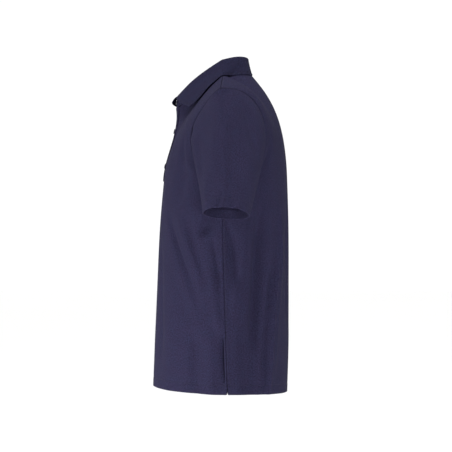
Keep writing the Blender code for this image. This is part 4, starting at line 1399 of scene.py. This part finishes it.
@dataclass
class Sleeve:
    """A short set-in sleeve: strands from the armhole down to its hem."""

    trunk: Trunk
    side: Side
    cuff_middle: Point = Point(0.2720, 0.0046, -0.2976)
    cuff_half_width: float = 0.0530
    cuff_half_depth: float = 0.0483
    cuff_roundness: float = 2.2
    outer_rise: float = 12.0 * MM
    front_rise: float = 3.2 * MM
    bow: float = 1.6 * MM
    runs: tuple[SleeveRun, ...] = (
        SleeveRun(0.00, 0.96, 0.00, 0.00, -0.28, 0.110, 0.130),
        SleeveRun(0.30, 0.98, -0.02, 0.08, -0.20, 0.110, 0.110),
        SleeveRun(0.55, 0.97, -0.04, 0.26, -0.24, 0.105, 0.090),
        SleeveRun(0.80, 0.86, 0.00, 0.26, -0.50, 0.060, 0.070),
        SleeveRun(1.00, 0.78, 0.00, 0.00, -0.62, 0.030, 0.045),
    )
    hang: Point = Point(0.22, 0.0, -0.975)
    sweep: float = -0.26
    hem: Hem = Hem(groove=0.12 * MM, groove_width=2.0 * MM, pucker=0.04 * MM, swell=0.0)
    pucker_length: float = 4.1 * MM
    crease_taper: float = 0.35
    crease_start: float = 6 * MM  # the armhole seam holds the cloth still above this
    steps: int = 56
    hem_end: float = 23 * MM
    soft_top: float = 30 * MM  # rounding of the fold line below the shoulder tip
    soft_low: float = 3 * MM
    soft_start: float = 0.12  # shares of the way down between which it gets sharper
    soft_end: float = 0.42
    soft_reach: float = 45 * MM
    soft_fade: float = 0.125  # share of the way over which it begins below the seam
    left_creases: tuple[Crease, ...] = (
        Crease(0.99, 0.22, 0.995, 0.95, 5 * MM, 3 * MM),
        Crease(0.055, 0.30, 0.065, 0.80, 16 * MM, 3 * MM),
        Crease(0.95, 0.26, 0.955, 0.96, 14 * MM, -6 * MM),
        Crease(0.015, 0.80, 0.075, 1.06, 5 * MM, -4 * MM),
        Crease(0.955, 0.84, 0.915, 1.06, 6 * MM, 3.5 * MM),
        Crease(0.225, -0.10, 0.245, 0.14, 5 * MM, -4 * MM),
        Crease(0.905, 0.16, 0.815, 0.56, 11 * MM, -5 * MM),
        Crease(0.20, 0.26, 0.175, 0.70, 12 * MM, -4 * MM),
        Crease(1.00, 0.86, 0.965, 1.02, 6 * MM, -2.5 * MM),
        Crease(0.13, 0.62, 0.15, 0.98, 12 * MM, 2.5 * MM),
    )
    right_creases: tuple[Crease, ...] = (
        Crease(0.01, 0.24, 0.00, 0.90, 10 * MM, 3 * MM),
        Crease(0.96, 0.30, 0.95, 0.88, 14 * MM, -4 * MM),
        Crease(0.89, 0.18, 0.82, 0.60, 12 * MM, -4.5 * MM),
        Crease(0.185, 0.30, 0.16, 0.74, 13 * MM, -4 * MM),
        Crease(0.09, 0.40, 0.08, 0.92, 15 * MM, 3 * MM),
    )
    flat: tuple[float, float] = (0.42, 0.28)
    area: float = 0.075

    def __post_init__(self) -> None:
        """Builds the sheet."""
        self.half_count = len(self.trunk.rises)
        self.sheet = self.cloth()

    def cuff_point(self, turn: Array) -> Array:
        """Points of the hem, turn going from the outside by the front and round."""
        angle = turn * 2 * math.pi
        power = 2 / self.cuff_roundness
        out = np.sign(np.cos(angle)) * np.abs(np.cos(angle)) ** power
        fore = np.sign(np.sin(angle)) * np.abs(np.sin(angle)) ** power
        x = self.cuff_middle.x + self.cuff_half_width * out
        y = self.cuff_middle.y - self.cuff_half_depth * fore
        rise = self.outer_rise * np.cos(angle) + self.front_rise * np.sin(angle)
        z = self.cuff_middle.z + rise + self.bow * np.cos(2 * angle)
        return np.stack((x * self.side, y, z), axis=-1)

    def cloth(self) -> Cloth:
        """The sleeve with its creases, the groove at the armhole and its hem."""
        ring = self.trunk.armhole_ring(self.side)
        half, count = self.half_count, len(ring)
        run = run_along(np.concatenate((ring, ring[:1])))
        in_front = np.arange(count) <= half
        past = (run[:count] - run[half]) / (run[count] - run[half])
        way = np.where(in_front, run[:count] / run[half], 1.0 - past)
        turn = np.where(in_front, way / 2, 1.0 - way / 2)
        out, ahead, behind, up, keep_start, keep_end = read_table(self.runs, way)
        fore = np.where(in_front, ahead, behind)
        leave = unit(np.stack((out * self.side, fore, up), axis=-1)) * keep_start[:, None]
        sweep = np.where(in_front, 0.0, self.sweep * np.sin(math.pi * way))
        arrive = np.array(self.hang) * (self.side, 1, 1) + sweep[:, None] * (0.0, 1.0, 0.0)
        arrive = unit(arrive) * keep_end[:, None]
        end = self.cuff_point(turn)
        length = np.linalg.norm(end - ring, axis=1)[:, None]
        first = np.array((0.0, *self.trunk.seam_steps[:0:-1]))[:, None, None] / length
        last = 1.0 - np.array((self.hem_end, *self.hem.rows[::-1]))[:, None, None] / length
        between = np.linspace(0.0, 1.0, self.steps + 1)[1:-1, None, None]
        share = np.concatenate((first, first[-1] + (last[0] - first[-1]) * between, last))
        points = self.soften(hermite(ring, leave, end, arrive, share), share[..., 0])
        name = f"{self.side.name.lower()}_sleeve"
        sheet = Cloth(name, points, self.trunk.wall, closed=True, turned=self.side == Side.RIGHT)

        girth = math.pi * (self.cuff_half_width + self.cuff_half_depth)
        creases = self.left_creases if self.side == Side.LEFT else self.right_creases
        depth = crease_depth(creases, turn[None, :], share[..., 0], girth, self.crease_taper,
                             closed=True)
        down = sheet.reach(0)
        depth *= ease(down / self.crease_start)
        depth += Seams.profile(down)
        # Painted shade beside the armhole seam
        Seams.paint_seam_shade(sheet, down, Seams.ARMHOLE_SEAM_SHADE_WIDTH)
        near = sheet.reach(0, from_end=True)
        depth += self.hem.depth(near, np.sin(turn * girth / self.pucker_length)[None, :])
        sheet.press(depth)
        self.hem.double(sheet, near)
        return sheet

    def soften(self, points: Array, share: Array) -> Array:
        """Rounds the cloth beside the line below the shoulder tip, most at its top.

        Args:
            points: The sleeve's rows, each a ring that starts on that line.
            share: Way down of each point.

        Returns:
            The points, the first row as it was.
        """
        run = run_along(np.concatenate((points, points[:, :1]), axis=1), 1)
        girth, run = run[:, -1:], run[:, :-1]
        sharper = ease((share - self.soft_start) / (self.soft_end - self.soft_start))
        width = self.soft_top + (self.soft_low - self.soft_top) * sharper
        apart = np.abs(run[:, :, None] - run[:, None, :])
        apart = np.minimum(apart, girth[:, None] - apart)
        spread = np.linalg.norm(np.roll(points, -1, axis=1) - np.roll(points, 1, axis=1), axis=-1)
        weights = np.exp(-(apart / width[:, :, None]) ** 2) * spread[:, None, :]
        weights /= weights.sum(axis=2, keepdims=True)
        soft = np.einsum("rij,rjk->rik", weights, points)
        tip = np.minimum(run, girth - run)
        held = np.exp(-(tip / self.soft_reach) ** 2) * ease(share / self.soft_fade)
        return points + (soft - points) * held[..., None]

    def join(self, seams: Seams) -> None:
        """Adds the armhole seam."""
        trunk, half, count = self.trunk, self.half_count, self.sheet.points.shape[1]
        rows = range(trunk.chest_row, trunk.front.points.shape[0])
        front_column, back_column = (-1, 0) if self.side == Side.LEFT else (0, -1)
        seams.join(Edge(trunk.front, rows[::-1], front_column), Edge(self.sheet, 0, range(half + 1)))
        seams.join(Edge(trunk.back, rows, back_column), Edge(self.sheet, 0, range(half, count + 1)))

    def topstitch(self) -> Needlework:
        """The line that holds the hem, from under the arm round to there."""
        sheet = self.sheet
        work = Needlework(f"{sheet.name}_stitches")
        hem = sheet.inset(self.hem.stitches, 0, from_end=True)
        columns = np.arange(len(hem) + 1) + self.half_count
        work.line(sheet, hem[columns % len(hem)], columns)
        return work

    def dress(self, wardrobe: Wardrobe) -> None:
        """Builds the sleeve with its stitches."""
        piece = wardrobe.cloth(self.sheet, f"sleeve_{self.side.name.lower()}")
        stitches = wardrobe.sewing(self.topstitch())


# -------- collar


@dataclass
class Collar:
    """The collar: a stand sewn into the neck and a leaf turned down over it."""

    trunk: Trunk
    wall: float = 2.0 * MM
    stand_front: tuple[Point, ...] = (
        Point(0.0000, -0.0990, -0.0425),
        Point(0.0200, -0.0910, -0.0350),
        Point(0.0400, -0.0715, -0.0155),
        Point(0.0545, -0.0360, 0.0120),
        Point(0.0610, -0.0030, 0.0332),
    )
    stand_back: tuple[Point, ...] = (
        Point(0.0610, -0.0030, 0.0332),
        Point(0.0545, 0.0260, 0.0398),
        Point(0.0330, 0.0435, 0.0407),
        Point(0.0000, 0.0485, 0.0400),
    )
    lap: float = 1.15 * MM
    lap_run: float = 0.35
    lap_distances: tuple[float, ...] = (
        12 * MM, 10 * MM, 7.5 * MM, 5 * MM, 2.5 * MM, 0.0, 2.5 * MM, 5 * MM, 7.5 * MM, 10 * MM,
    )
    stand_steps: int = 8
    roll_radius: float = 2.5 * MM
    roll_start: float = 1.0 * MM
    roll_steps: int = 10
    leaf_steps: int = 26
    leaf_half_gap: float = 10 * MM  # the leaf's ends stand this far from the middle
    leaf_gap: float = 0.1 * MM  # between the stand's edge and the leaf
    spring_forward: float = 12 * MM
    spring_down: float = 10 * MM
    spring_run: float = 0.45
    edge_stitch: float = 5 * MM
    edge_groove: float = 0.3 * MM
    edge_groove_width: float = 1.6 * MM
    stand_stitch: float = 2.5 * MM
    loose_start: float = 14 * MM  # the leaf waves a little from here down
    loose_end: float = 39 * MM
    wave: float = 0.55 * MM
    # From one panel's table to the other's the leaf's edge runs on smoothly, between stations
    shoulder_start: float = 1.02
    shoulder_end: float = 1.34
    stand_flat: tuple[float, float] = (0.47, 0.035)
    leaf_flat: tuple[float, float] = (0.48, 0.075)
    leaf_edges: tuple[tuple[PanelCut, tuple[LeafEdge, ...]], ...] = (
        (FRONT_CUT, (
            LeafEdge(0.00, 0.333, 0.664, 9.3 * MM, 0.15, 0.10),
            LeafEdge(0.25, 0.394, 0.699, 6.5 * MM, 0.30, 0.10),
            LeafEdge(0.50, 0.451, 0.783, 6.1 * MM, 0.40, 0.10),
            LeafEdge(0.75, 0.485, 0.890, 4.6 * MM, 0.45, 0.10),
            LeafEdge(1.00, 0.510, 0.989, 2.8 * MM, 0.45, 0.10),
        )),
        (BACK_CUT, (
            LeafEdge(1.00, 0.456, 0.990, 2.8 * MM, 0.45, 0.10),
            LeafEdge(1.12, 0.432, 0.966, 2.3 * MM, 0.46, 0.08),
            LeafEdge(1.25, 0.372, 0.951, 2.1 * MM, 0.48, 0.05),
            LeafEdge(1.38, 0.292, 0.950, 2.0 * MM, 0.50, 0.02),
            LeafEdge(1.55, 0.207, 0.949, 1.9 * MM, 0.50, 0.00),
            LeafEdge(1.75, 0.120, 0.948, 1.9 * MM, 0.50, -0.02),
            LeafEdge(2.00, 0.000, 0.950, 2.4 * MM, 0.50, -0.04),
        )),
    )

    def __post_init__(self) -> None:
        """Builds stand and leaf."""
        self.stand = self.stand_cloth()
        self.leaf = self.leaf_cloth()

    def neck_station(self, distance: float) -> float:
        """The front neck's station at a distance from the middle."""
        stations = np.linspace(0.0, 1.0, FINE_STEPS)
        return float(np.interp(distance, along(self.trunk.neck_front, stations)[:, 0], stations))

    def stations(self) -> Array:
        """Neck stations of the left side: 0 at the centre front, 1 at the shoulder, 2 behind."""
        trunk = self.trunk
        cut, end = trunk.cut_columns, trunk.neck_end(FRONT_CUT)
        front = trunk.panel_columns(FRONT_CUT)[cut:end + 1] / FRONT_CUT.neck_share
        back = 2.0 - trunk.panel_columns(BACK_CUT)[:trunk.neck_end(BACK_CUT)] / BACK_CUT.neck_share
        front[:2] = [self.neck_station(distance) for distance in trunk.strips[cut:cut + 2]]
        return np.concatenate((front, back[::-1]))

    def ring_point(self, front: Sequence[Point], back: Sequence[Point], stations: Array,
                   sides: Array) -> Array:
        """Points of a collar line.

        Args:
            front: The line from the centre front to the shoulder.
            back: Its way on to the centre back.
            stations: Stations from 0 to 2.
            sides: The side of each, 1 or -1.

        Returns:
            The points.
        """
        ahead = along(front, np.clip(stations, 0.0, 1.0))
        behind = along(back, np.clip(stations - 1.0, 0.0, 1.0))
        points = np.where((stations <= 1.0)[..., None], ahead, behind)
        points[:, 0] *= sides
        return points

    def neck_spans(self) -> list[tuple[Cloth, range]]:
        """The columns of the panels round the neck seam, from the left front by the back."""
        trunk = self.trunk
        cut, end = trunk.cut_columns, trunk.neck_end(FRONT_CUT)
        back_middle = trunk.back.points.shape[1] // 2
        back_end = trunk.neck_end(BACK_CUT)
        return [
            (trunk.front, range(trunk.middle + cut, trunk.middle + end + 1)),
            (trunk.back, range(back_middle - back_end, back_middle + back_end + 1)),
            (trunk.front, range(trunk.middle - end, trunk.middle - cut + 1)),
        ]

    def stand_cloth(self) -> Cloth:
        """The stand, from its left end over the lap, round the neck, to its right end."""
        stations = self.stations()
        lap = np.array([self.neck_station(distance) for distance in self.lap_distances])
        walk = np.concatenate((lap, stations, stations[-2::-1], lap[::-1]))
        sides = np.where(np.arange(len(walk)) < len(lap) + len(stations), 1, -1)
        crossed = self.lap_distances.index(0.0)
        sides[:crossed] = -1
        sides[len(walk) - crossed:] = 1
        trunk = self.trunk
        low = self.ring_point(trunk.neck_front, trunk.neck_back, walk, sides)
        tops = [sheet.points[-1, columns] for sheet, columns in self.neck_spans()]
        tops = [tops[0], tops[1][1:], tops[2][1:]]
        low[len(lap):-len(lap)] = np.concatenate(tops)
        high = self.ring_point(self.stand_front, self.stand_back, walk, sides)
        rows = np.linspace(0.0, 1.0, self.stand_steps + 1)[:, None, None]
        sheet = Cloth("neck_stand", low * (1 - rows) + high * rows, self.wall)
        opened = 1.0 - ease(walk / self.lap_run)
        outward = np.where(np.arange(len(walk)) < len(walk) / 2, self.lap, -self.lap)
        sheet.shift += sheet.normals * (outward * opened)[None, :, None]
        return sheet

    def leaf_line(self, stations: Array, sides: Array) -> tuple[Array, Array, Array]:
        """The leaf's lower edge.

        Args:
            stations: Neck stations of its columns.
            sides: The side of each.

        Returns:
            The edge's points, and how far each column hangs and bulges.
        """
        edge = np.empty((len(stations), 3))
        hang = np.empty((len(stations), 1))
        bulge = np.empty((len(stations), 1))
        first = stations.min()
        for cut, table in self.leaf_edges:
            in_front = cut.half == Half.FRONT
            chosen = stations <= 1.0 if in_front else stations > 1.0
            place = (stations[chosen] - first) / (1.0 - first) if in_front else stations[chosen]
            across, rise, stand_off, hang[chosen, 0], bulge[chosen, 0] = read_table(table, place)
            here = self.trunk.upper_point(cut, across, rise)
            aside = self.trunk.upper_point(cut, across + 0.01, rise) - here
            below = here - self.trunk.upper_point(cut, across, rise - 0.01)
            outward = unit(np.cross(aside, below)) * -int(cut.half)
            edge[chosen] = here + outward * stand_off[:, None]
        keys = np.arange(len(stations))
        own = (stations < self.shoulder_start) | (stations > self.shoulder_end)
        edge = spline(keys[own], edge[own], keys)
        edge[:, 0] *= sides
        return edge, hang, bulge

    def leaf_cloth(self) -> Cloth:
        """The leaf: up from the stand's edge, over the roll and down to the lower edge."""
        trunk = self.trunk
        half = np.concatenate(([self.neck_station(self.leaf_half_gap)], self.stations()))
        stations = np.concatenate((half, half[-2::-1]))
        sides = np.where(np.arange(len(stations)) < len(half), -1, 1)
        top = self.ring_point(self.stand_front, self.stand_back, stations, sides)
        low = self.ring_point(trunk.neck_front, trunk.neck_back, stations, sides)
        upward = unit(top - low)
        outward = unit(np.cross(np.gradient(top, axis=0), -upward))
        edge, hang, bulge = self.leaf_line(stations, sides)
        start = top + upward * self.leaf_gap
        rows = [start]
        centre = start + upward * self.roll_start + outward * self.roll_radius
        spring = np.where(sides < 0, 1.0 - ease(stations / self.spring_run), 0.0)[:, None]
        for share in np.linspace(0.0, 1.0, self.roll_steps + 1):
            turn = math.pi * (1.0 - share)
            lean = np.array((0.0, -self.spring_forward * share, -self.spring_down * share ** 2))
            around = outward * math.cos(turn) + upward * math.sin(turn)
            rows.append(centre + around * self.roll_radius + spring * lean)
        over = rows[-1]
        length = np.linalg.norm(edge - over, axis=1)[:, None]
        pull = over + (outward * bulge - upward * hang) * length
        for s in np.linspace(0.0, 1.0, self.leaf_steps + 1)[1:]:
            rows.append((1 - s) ** 2 * over + 2 * s * (1 - s) * pull + s ** 2 * edge)
        sheet = Cloth("turned_collar", np.array(rows), self.wall)
        down = sheet.reach(0)
        around = sheet.reach(1)[-1]
        near = sheet.reach(0, from_end=True)
        loose = ease((down - self.loose_start) / (self.loose_end - self.loose_start))
        loose = loose * ease(near / (self.edge_stitch + 1 * MM)) * self.wave
        waves = 0.7 * np.sin(around / (19 * MM) + 0.4) + 0.5 * np.sin(around / (11 * MM) + 2.0)
        held = np.exp(-((near - self.edge_stitch) / self.edge_groove_width) ** 2)
        sheet.press(loose * waves - self.edge_groove * held)
        return sheet

    def join(self, seams: Seams) -> None:
        """Adds the neck seam."""
        walk = len(self.lap_distances)
        for panel, columns in self.neck_spans():
            stand_columns = range(walk, walk + len(columns))
            seams.join(Edge(panel, -1, columns), Edge(self.stand, 0, stand_columns))
            walk += len(columns) - 1

    def topstitch_leaf(self) -> Needlework:
        """The line inside the leaf's free edges."""
        leaf = self.leaf
        work = Needlework("turned_collar_stitches")
        low = leaf.inset(self.edge_stitch, 0, from_end=True)
        first = leaf.inset(self.edge_stitch, 1)
        last = leaf.inset(self.edge_stitch, 1, from_end=True)
        count = leaf.points.shape[1]
        corner = int(first[-8])
        down = np.arange(self.roll_steps + 2, low[corner + 1])
        columns = np.arange(int(first[int(low[1])]) + 1, int(last[int(low[-2])]))
        rows = np.concatenate((down, low[columns], down[::-1]))
        place = np.concatenate((first[down.astype(int)], columns, last[down.astype(int)][::-1]))
        work.line(leaf, rows, np.clip(place, 0, count - 1))
        return work

    def topstitch_stand(self) -> Needlework:
        """The line above the neck seam."""
        work = Needlework("neck_stand_stitches")
        points = self.stand.points
        columns = np.arange(1, points.shape[1] - 1)
        row = self.stand_stitch / np.linalg.norm(points[-1, 0] - points[0, 0]) * self.stand_steps
        work.line(self.stand, np.full(len(columns), row), columns)
        return work

    def dress(self, wardrobe: Wardrobe) -> None:
        """Builds stand and leaf with their stitches."""
        stand = wardrobe.cloth(self.stand, "collar_stand")
        stitches = wardrobe.sewing(self.topstitch_stand())
        leaf = wardrobe.cloth(self.leaf, "collar_leaf")
        stitches = wardrobe.sewing(self.topstitch_leaf())


# -------- placket


@dataclass
class Placket:
    """The two strips over and under the front's cut, with the buttonholes that show."""

    trunk: Trunk
    lay: float = 0.3 * MM
    distances: tuple[float, ...] = (
        -15.5 * MM, -14.5 * MM, -12 * MM, -8 * MM, -4 * MM, 0.0,
        4 * MM, 8 * MM, 12 * MM, 14.5 * MM, 15.5 * MM,
    )
    upper_gap: float = 0.8 * MM
    under_gap: float = 3.0 * MM
    edge_stitch: float = 2.2 * MM
    box_height: float = 14 * MM
    flat: tuple[float, float] = (0.031, 0.165)
    hole_length: float = 13.5 * MM
    hole_levels: tuple[float, ...] = (-0.117, -0.190)
    slit_half: float = 0.35 * MM  # the satin stitches go from here out to their reach
    satin_reach: float = 1.75 * MM
    satin_count: int = 30
    satin_thread: float = 0.42 * MM
    bar_half: float = 1.8 * MM  # bars close the slit's ends
    bar_gap: float = 0.3 * MM
    bar_step: float = 0.4 * MM

    def __post_init__(self) -> None:
        """Builds both strips."""
        self.upper = self.strip("upper_placket", 1, self.upper_gap)
        self.under = self.strip("under_placket", -1, self.under_gap)

    def strip(self, name: str, layer: int, top_gap: float) -> Cloth:
        """A strip: lines of the front, moved out or in by one layer.

        Args:
            name: The piece's name.
            layer: 1 on the front, -1 behind it.
            top_gap: How far it ends below the neck seam.

        Returns:
            The sheet.
        """
        trunk = self.trunk
        lines = []
        for distance in self.distances:
            line = trunk.strip_line(abs(distance))[trunk.foot_row:]
            lines.append(line * (-1.0 if distance < 0 else 1.0, 1.0, 1.0))
        points = np.stack(lines, axis=1)
        points[-1] += unit(points[-2] - points[-1]) * top_gap
        sheet = Cloth(name, points, trunk.wall)
        sheet.points = points + sheet.normals * layer * (trunk.wall + self.lay)
        sheet.renew()
        return sheet

    def spot(self, x: Array, level: Array) -> tuple[Array, Array]:
        """Fractional rows and columns of places on the upper strip."""
        ridge = self.upper.points[:, len(self.distances) // 2, 2]
        columns = np.interp(x, self.distances, np.arange(len(self.distances)))
        return np.interp(level, ridge, np.arange(len(ridge))), columns

    def topstitch(self) -> Needlework:
        """Lines inside the upper strip's long edges and the box at its foot."""
        work = Needlework("upper_placket_stitches")
        side = self.distances[-1] - self.edge_stitch
        ridge = self.upper.points[:, len(self.distances) // 2, 2]
        low, high = ridge[0] + self.edge_stitch, ridge[-1] - 1 * MM
        levels = np.linspace(low, high, 90)
        for x in (-side, side):
            work.line(self.upper, *self.spot(np.full(90, x), levels))
        across = np.linspace(-side, side, 30)
        for level in (low, low + self.box_height):
            work.line(self.upper, *self.spot(across, np.full(30, level)))
        return work

    def buttonholes(self) -> Needlework:
        """Satin stitches round the slits under the two lower buttons."""
        work = Needlework("buttonhole_stitches", thread=self.satin_thread)
        steps = np.linspace(-0.5, 0.5, self.satin_count) * self.hole_length
        wide = np.array((-self.bar_half, self.bar_half))
        for level in self.hole_levels:
            for side in (-1, 1):
                near = self.upper_face(side * self.slit_half, level + steps)
                far = self.upper_face(side * self.satin_reach, level + steps)
                work.bar(near[0], far[0], near[1])
            for end in (-1, 1):
                place = level + end * (0.5 * self.hole_length + self.bar_gap)
                for step in (-1, 0, 1):
                    tack = self.upper_face(wide, np.full(2, place + step * self.bar_step))
                    work.bar(tack[0][:1], tack[0][1:], tack[1][:1])
        return work

    def upper_face(self, x: float | Array, level: Array) -> tuple[Array, Array]:
        """Places and normals on the face of the upper strip."""
        return self.upper.face_at(*self.spot(np.broadcast_to(x, np.shape(level)), level))

    def dress(self, wardrobe: Wardrobe) -> None:
        """Builds both strips and the upper one's stitches."""
        upper = wardrobe.cloth(self.upper, "placket_upper")
        sewn = [wardrobe.sewing(self.topstitch()), wardrobe.sewing(self.buttonholes())]
        under = wardrobe.cloth(self.under, "placket_under")


class ButtonRing(NamedTuple):
    """A place of the button's turned profile, in shares of its radius and thickness."""

    radius: float
    height: float


@dataclass
class Buttons:
    """Three turned buttons with a rolled rim, a dished face, four holes and their thread."""

    radius: float = 5.5 * MM
    thickness: float = 2.1 * MM
    hole_radius: float = 0.85 * MM
    hole_place: float = 1.35 * MM
    hole_sides: int = 20
    thread_step: float = 0.32 * MM
    thread_over: float = 0.25 * MM  # how far the loops pass the holes' middles
    sides: int = 64
    sharp: float = math.radians(38)
    rings: tuple[ButtonRing, ...] = (
        ButtonRing(0.00, 0.00), ButtonRing(0.70, 0.00), ButtonRing(0.84, 0.06),
        ButtonRing(0.95, 0.22), ButtonRing(1.00, 0.45), ButtonRing(0.995, 0.66),
        ButtonRing(0.96, 0.86), ButtonRing(0.90, 0.98), ButtonRing(0.83, 1.00),
        ButtonRing(0.76, 0.92), ButtonRing(0.70, 0.76), ButtonRing(0.62, 0.67),
        ButtonRing(0.40, 0.64), ButtonRing(0.00, 0.64),
    )
    nodes: tuple[str, ...] = ("button_top", "button_middle", "button_low")

    def blank(self) -> Mesh:
        """The button at the origin, facing +Z, with its four holes drilled."""
        turns = np.arange(self.sides) * 2 * math.pi / self.sides
        points = [(0.0, 0.0, self.rings[0].height * self.thickness)]
        for ring in self.rings[1:-1]:
            across, up = ring.radius * self.radius, ring.height * self.thickness
            points.extend((across * math.cos(turn), across * math.sin(turn), up) for turn in turns)
        points.append((0.0, 0.0, self.rings[-1].height * self.thickness))
        last = len(points) - 1
        faces = []
        for i in range(self.sides):
            after = (i + 1) % self.sides
            faces.append((0, 1 + after, 1 + i))
            for high in range(1 + self.sides, last, self.sides):
                low = high - self.sides
                faces.append((low + i, low + after, high + after, high + i))
            faces.append((last - self.sides + i, last - self.sides + after, last))
        mesh = bpy.data.meshes.new("button_blank")
        mesh.from_pydata(points, [], faces)
        blank = add_object("button_blank", mesh)
        drills = []
        for i in range(4):
            turn = math.pi / 4 + i * math.pi / 2
            bpy.ops.mesh.primitive_cylinder_add(
                vertices=self.hole_sides, radius=self.hole_radius, depth=4 * self.thickness,
                location=(self.hole_place * math.cos(turn), self.hole_place * math.sin(turn), 0),
            )
            drill = bpy.context.object
            drills.append(drill)
            cut = blank.modifiers.new("hole", "BOOLEAN")
            cut.operation = "DIFFERENCE"
            cut.solver = "EXACT"
            cut.object = drill
        bpy.context.view_layer.update()
        held = blank.evaluated_get(bpy.context.evaluated_depsgraph_get())
        drilled = bpy.data.meshes.new_from_object(held)
        for extra in (blank, *drills):
            bpy.data.objects.remove(extra)
        return drilled

    @staticmethod
    def seat(node: str) -> tuple[Array, Array, Array]:
        """Where a packed button sits.

        Args:
            node: Its name.

        Returns:
            The middle of its back, the way it faces, and the direction of its holes' rows.
        """
        corners = np.array([v.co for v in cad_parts[node].data.vertices], float)
        middle = corners.mean(axis=0)
        facing = np.linalg.svd(corners - middle)[2][2]
        facing = facing * (1.0 if facing[1] < 0 else -1.0)
        heights = (corners - middle) @ facing
        upright = unit(np.cross(facing, (1.0, 0.0, 0.0)))
        return middle + facing * heights.min(), facing, upright

    def loops(self, node: str, face: Array, aside: Array, upright: Array,
              facing: Array) -> Needlework:
        """The thread that holds a button: two bands of loops from hole to hole.

        Args:
            node: The button's name.
            face: The middle of its dished face.
            aside: The direction across its holes' rows.
            upright: The direction along them.
            facing: The way it faces.

        Returns:
            The stitches.
        """
        work = Needlework(f"{node}_thread", sides=6)
        off = self.hole_place / math.sqrt(2)
        reach = upright * (off + self.thread_over)
        for side in (-1, 1):
            for step in (-1, 0, 1):
                middle = face + aside * (side * off + step * self.thread_step)
                work.bar((middle - reach)[None], (middle + reach)[None], facing)
        return work

    def dress(self, wardrobe: Wardrobe) -> None:
        """Sets a turned button on each packed one, with the thread that holds it."""
        blank = self.blank()
        for node in self.nodes:
            place, facing, upright = self.seat(node)
            aside = np.cross(upright, facing)
            turn = np.stack((aside, upright, facing), axis=1)
            mesh = blank.copy()
            corners = np.array([v.co for v in mesh.vertices]) @ turn.T + place
            mesh.vertices.foreach_set("co", corners.astype(np.float32).ravel())
            mesh.update()
            mesh.shade_smooth()
            mesh.set_sharp_from_angle(angle=self.sharp)
            piece = add_object(f"{node}_turned", mesh)
            wardrobe.dress(piece, wardrobe.polyester, Slot.BUTTON, node)
            face = place + facing * self.rings[-1].height * self.thickness
            wardrobe.sewing(self.loops(node, face, aside, upright, facing))
        bpy.data.meshes.remove(blank)


# -------- studio


class Lamp(NamedTuple):
    """A square soft box: where it hangs, its side and its power in watts."""

    name: str
    place: Point
    size: float
    power: float


@dataclass
class Studio:
    """A white studio: floor, soft lights and the camera."""

    floor_level: float = -1.42
    floor_size: float = 60.0
    eye: Point = Point(4.5, 0.0044, -0.323)
    aim: Point = Point(0.0, 0.0, -0.36)
    frame_width: float = 0.9944  # what the camera takes in at the shirt's middle
    sensor: float = 36.0
    world: str = "#ffffff"
    world_strength: float = 1.04
    lamps: tuple[Lamp, ...] = (
        Lamp("low_front", Point(0.8, -1.4, -1.15), 0.6, 62.0),
        Lamp("overhead", Point(0.5, -0.3, 3.0), 1.5, 252.0),
        Lamp("low_behind", Point(2.2, 1.6, -1.2), 0.8, 124.0),
    )

    def build(self) -> None:
        """Sets up the studio."""
        corners = np.array([(-1, -1, 0), (1, -1, 0), (1, 1, 0), (-1, 1, 0)]) * self.floor_size / 2
        floor = mesh_object("studio_floor", corners + (0, 0, self.floor_level), np.array([[0, 1, 2, 3]]))
        floor.data.materials.append(PaintedFloor().material())
        world = bpy.data.worlds.new("studio")
        bpy.context.scene.world = world
        world.use_nodes = True
        sky = world.node_tree.nodes["Background"]
        set_inputs(sky, {"Color": linear(self.world), "Strength": self.world_strength})
        for lamp in self.lamps:
            self.light(lamp)
        self.camera()
        bpy.context.scene.view_settings.view_transform = "Standard"

    def light(self, lamp: Lamp) -> None:
        """Adds a soft box that points at the shirt."""
        light = bpy.data.lights.new(lamp.name, "AREA")
        light.shape = "SQUARE"
        light.size = lamp.size
        light.energy = lamp.power
        placed = add_object(lamp.name, light)
        placed.location = lamp.place
        way = Vector(self.aim) - Vector(lamp.place)
        placed.rotation_euler = way.to_track_quat("-Z", "Y").to_euler()

    def camera(self) -> None:
        """Places the camera level at the wearer's left."""
        lens = bpy.data.cameras.new("camera")
        lens.sensor_width = self.sensor
        lens.lens = self.sensor * self.eye.x / self.frame_width
        placed = add_object("camera", lens)
        placed.location = self.eye
        placed.rotation_euler = (math.pi / 2, 0.0, math.pi / 2)
        bpy.context.scene.camera = placed


# -------- shirt


def main() -> None:
    """Builds the shirt piece by piece and sets up the studio."""
    logging.basicConfig(level=logging.INFO, format="%(name)s %(message)s")
    trunk = Trunk()
    sleeves = [Sleeve(trunk, side) for side in Side]
    collar = Collar(trunk)
    placket = Placket(trunk)
    seams = Seams()
    for part in (trunk, *sleeves, collar):
        part.join(seams)
    seams.sew()

    wardrobe = Wardrobe()
    for part in (trunk, *sleeves, collar, placket, Buttons()):
        part.dress(wardrobe)
    Studio().build()


if __name__ == "__main__":
    main()
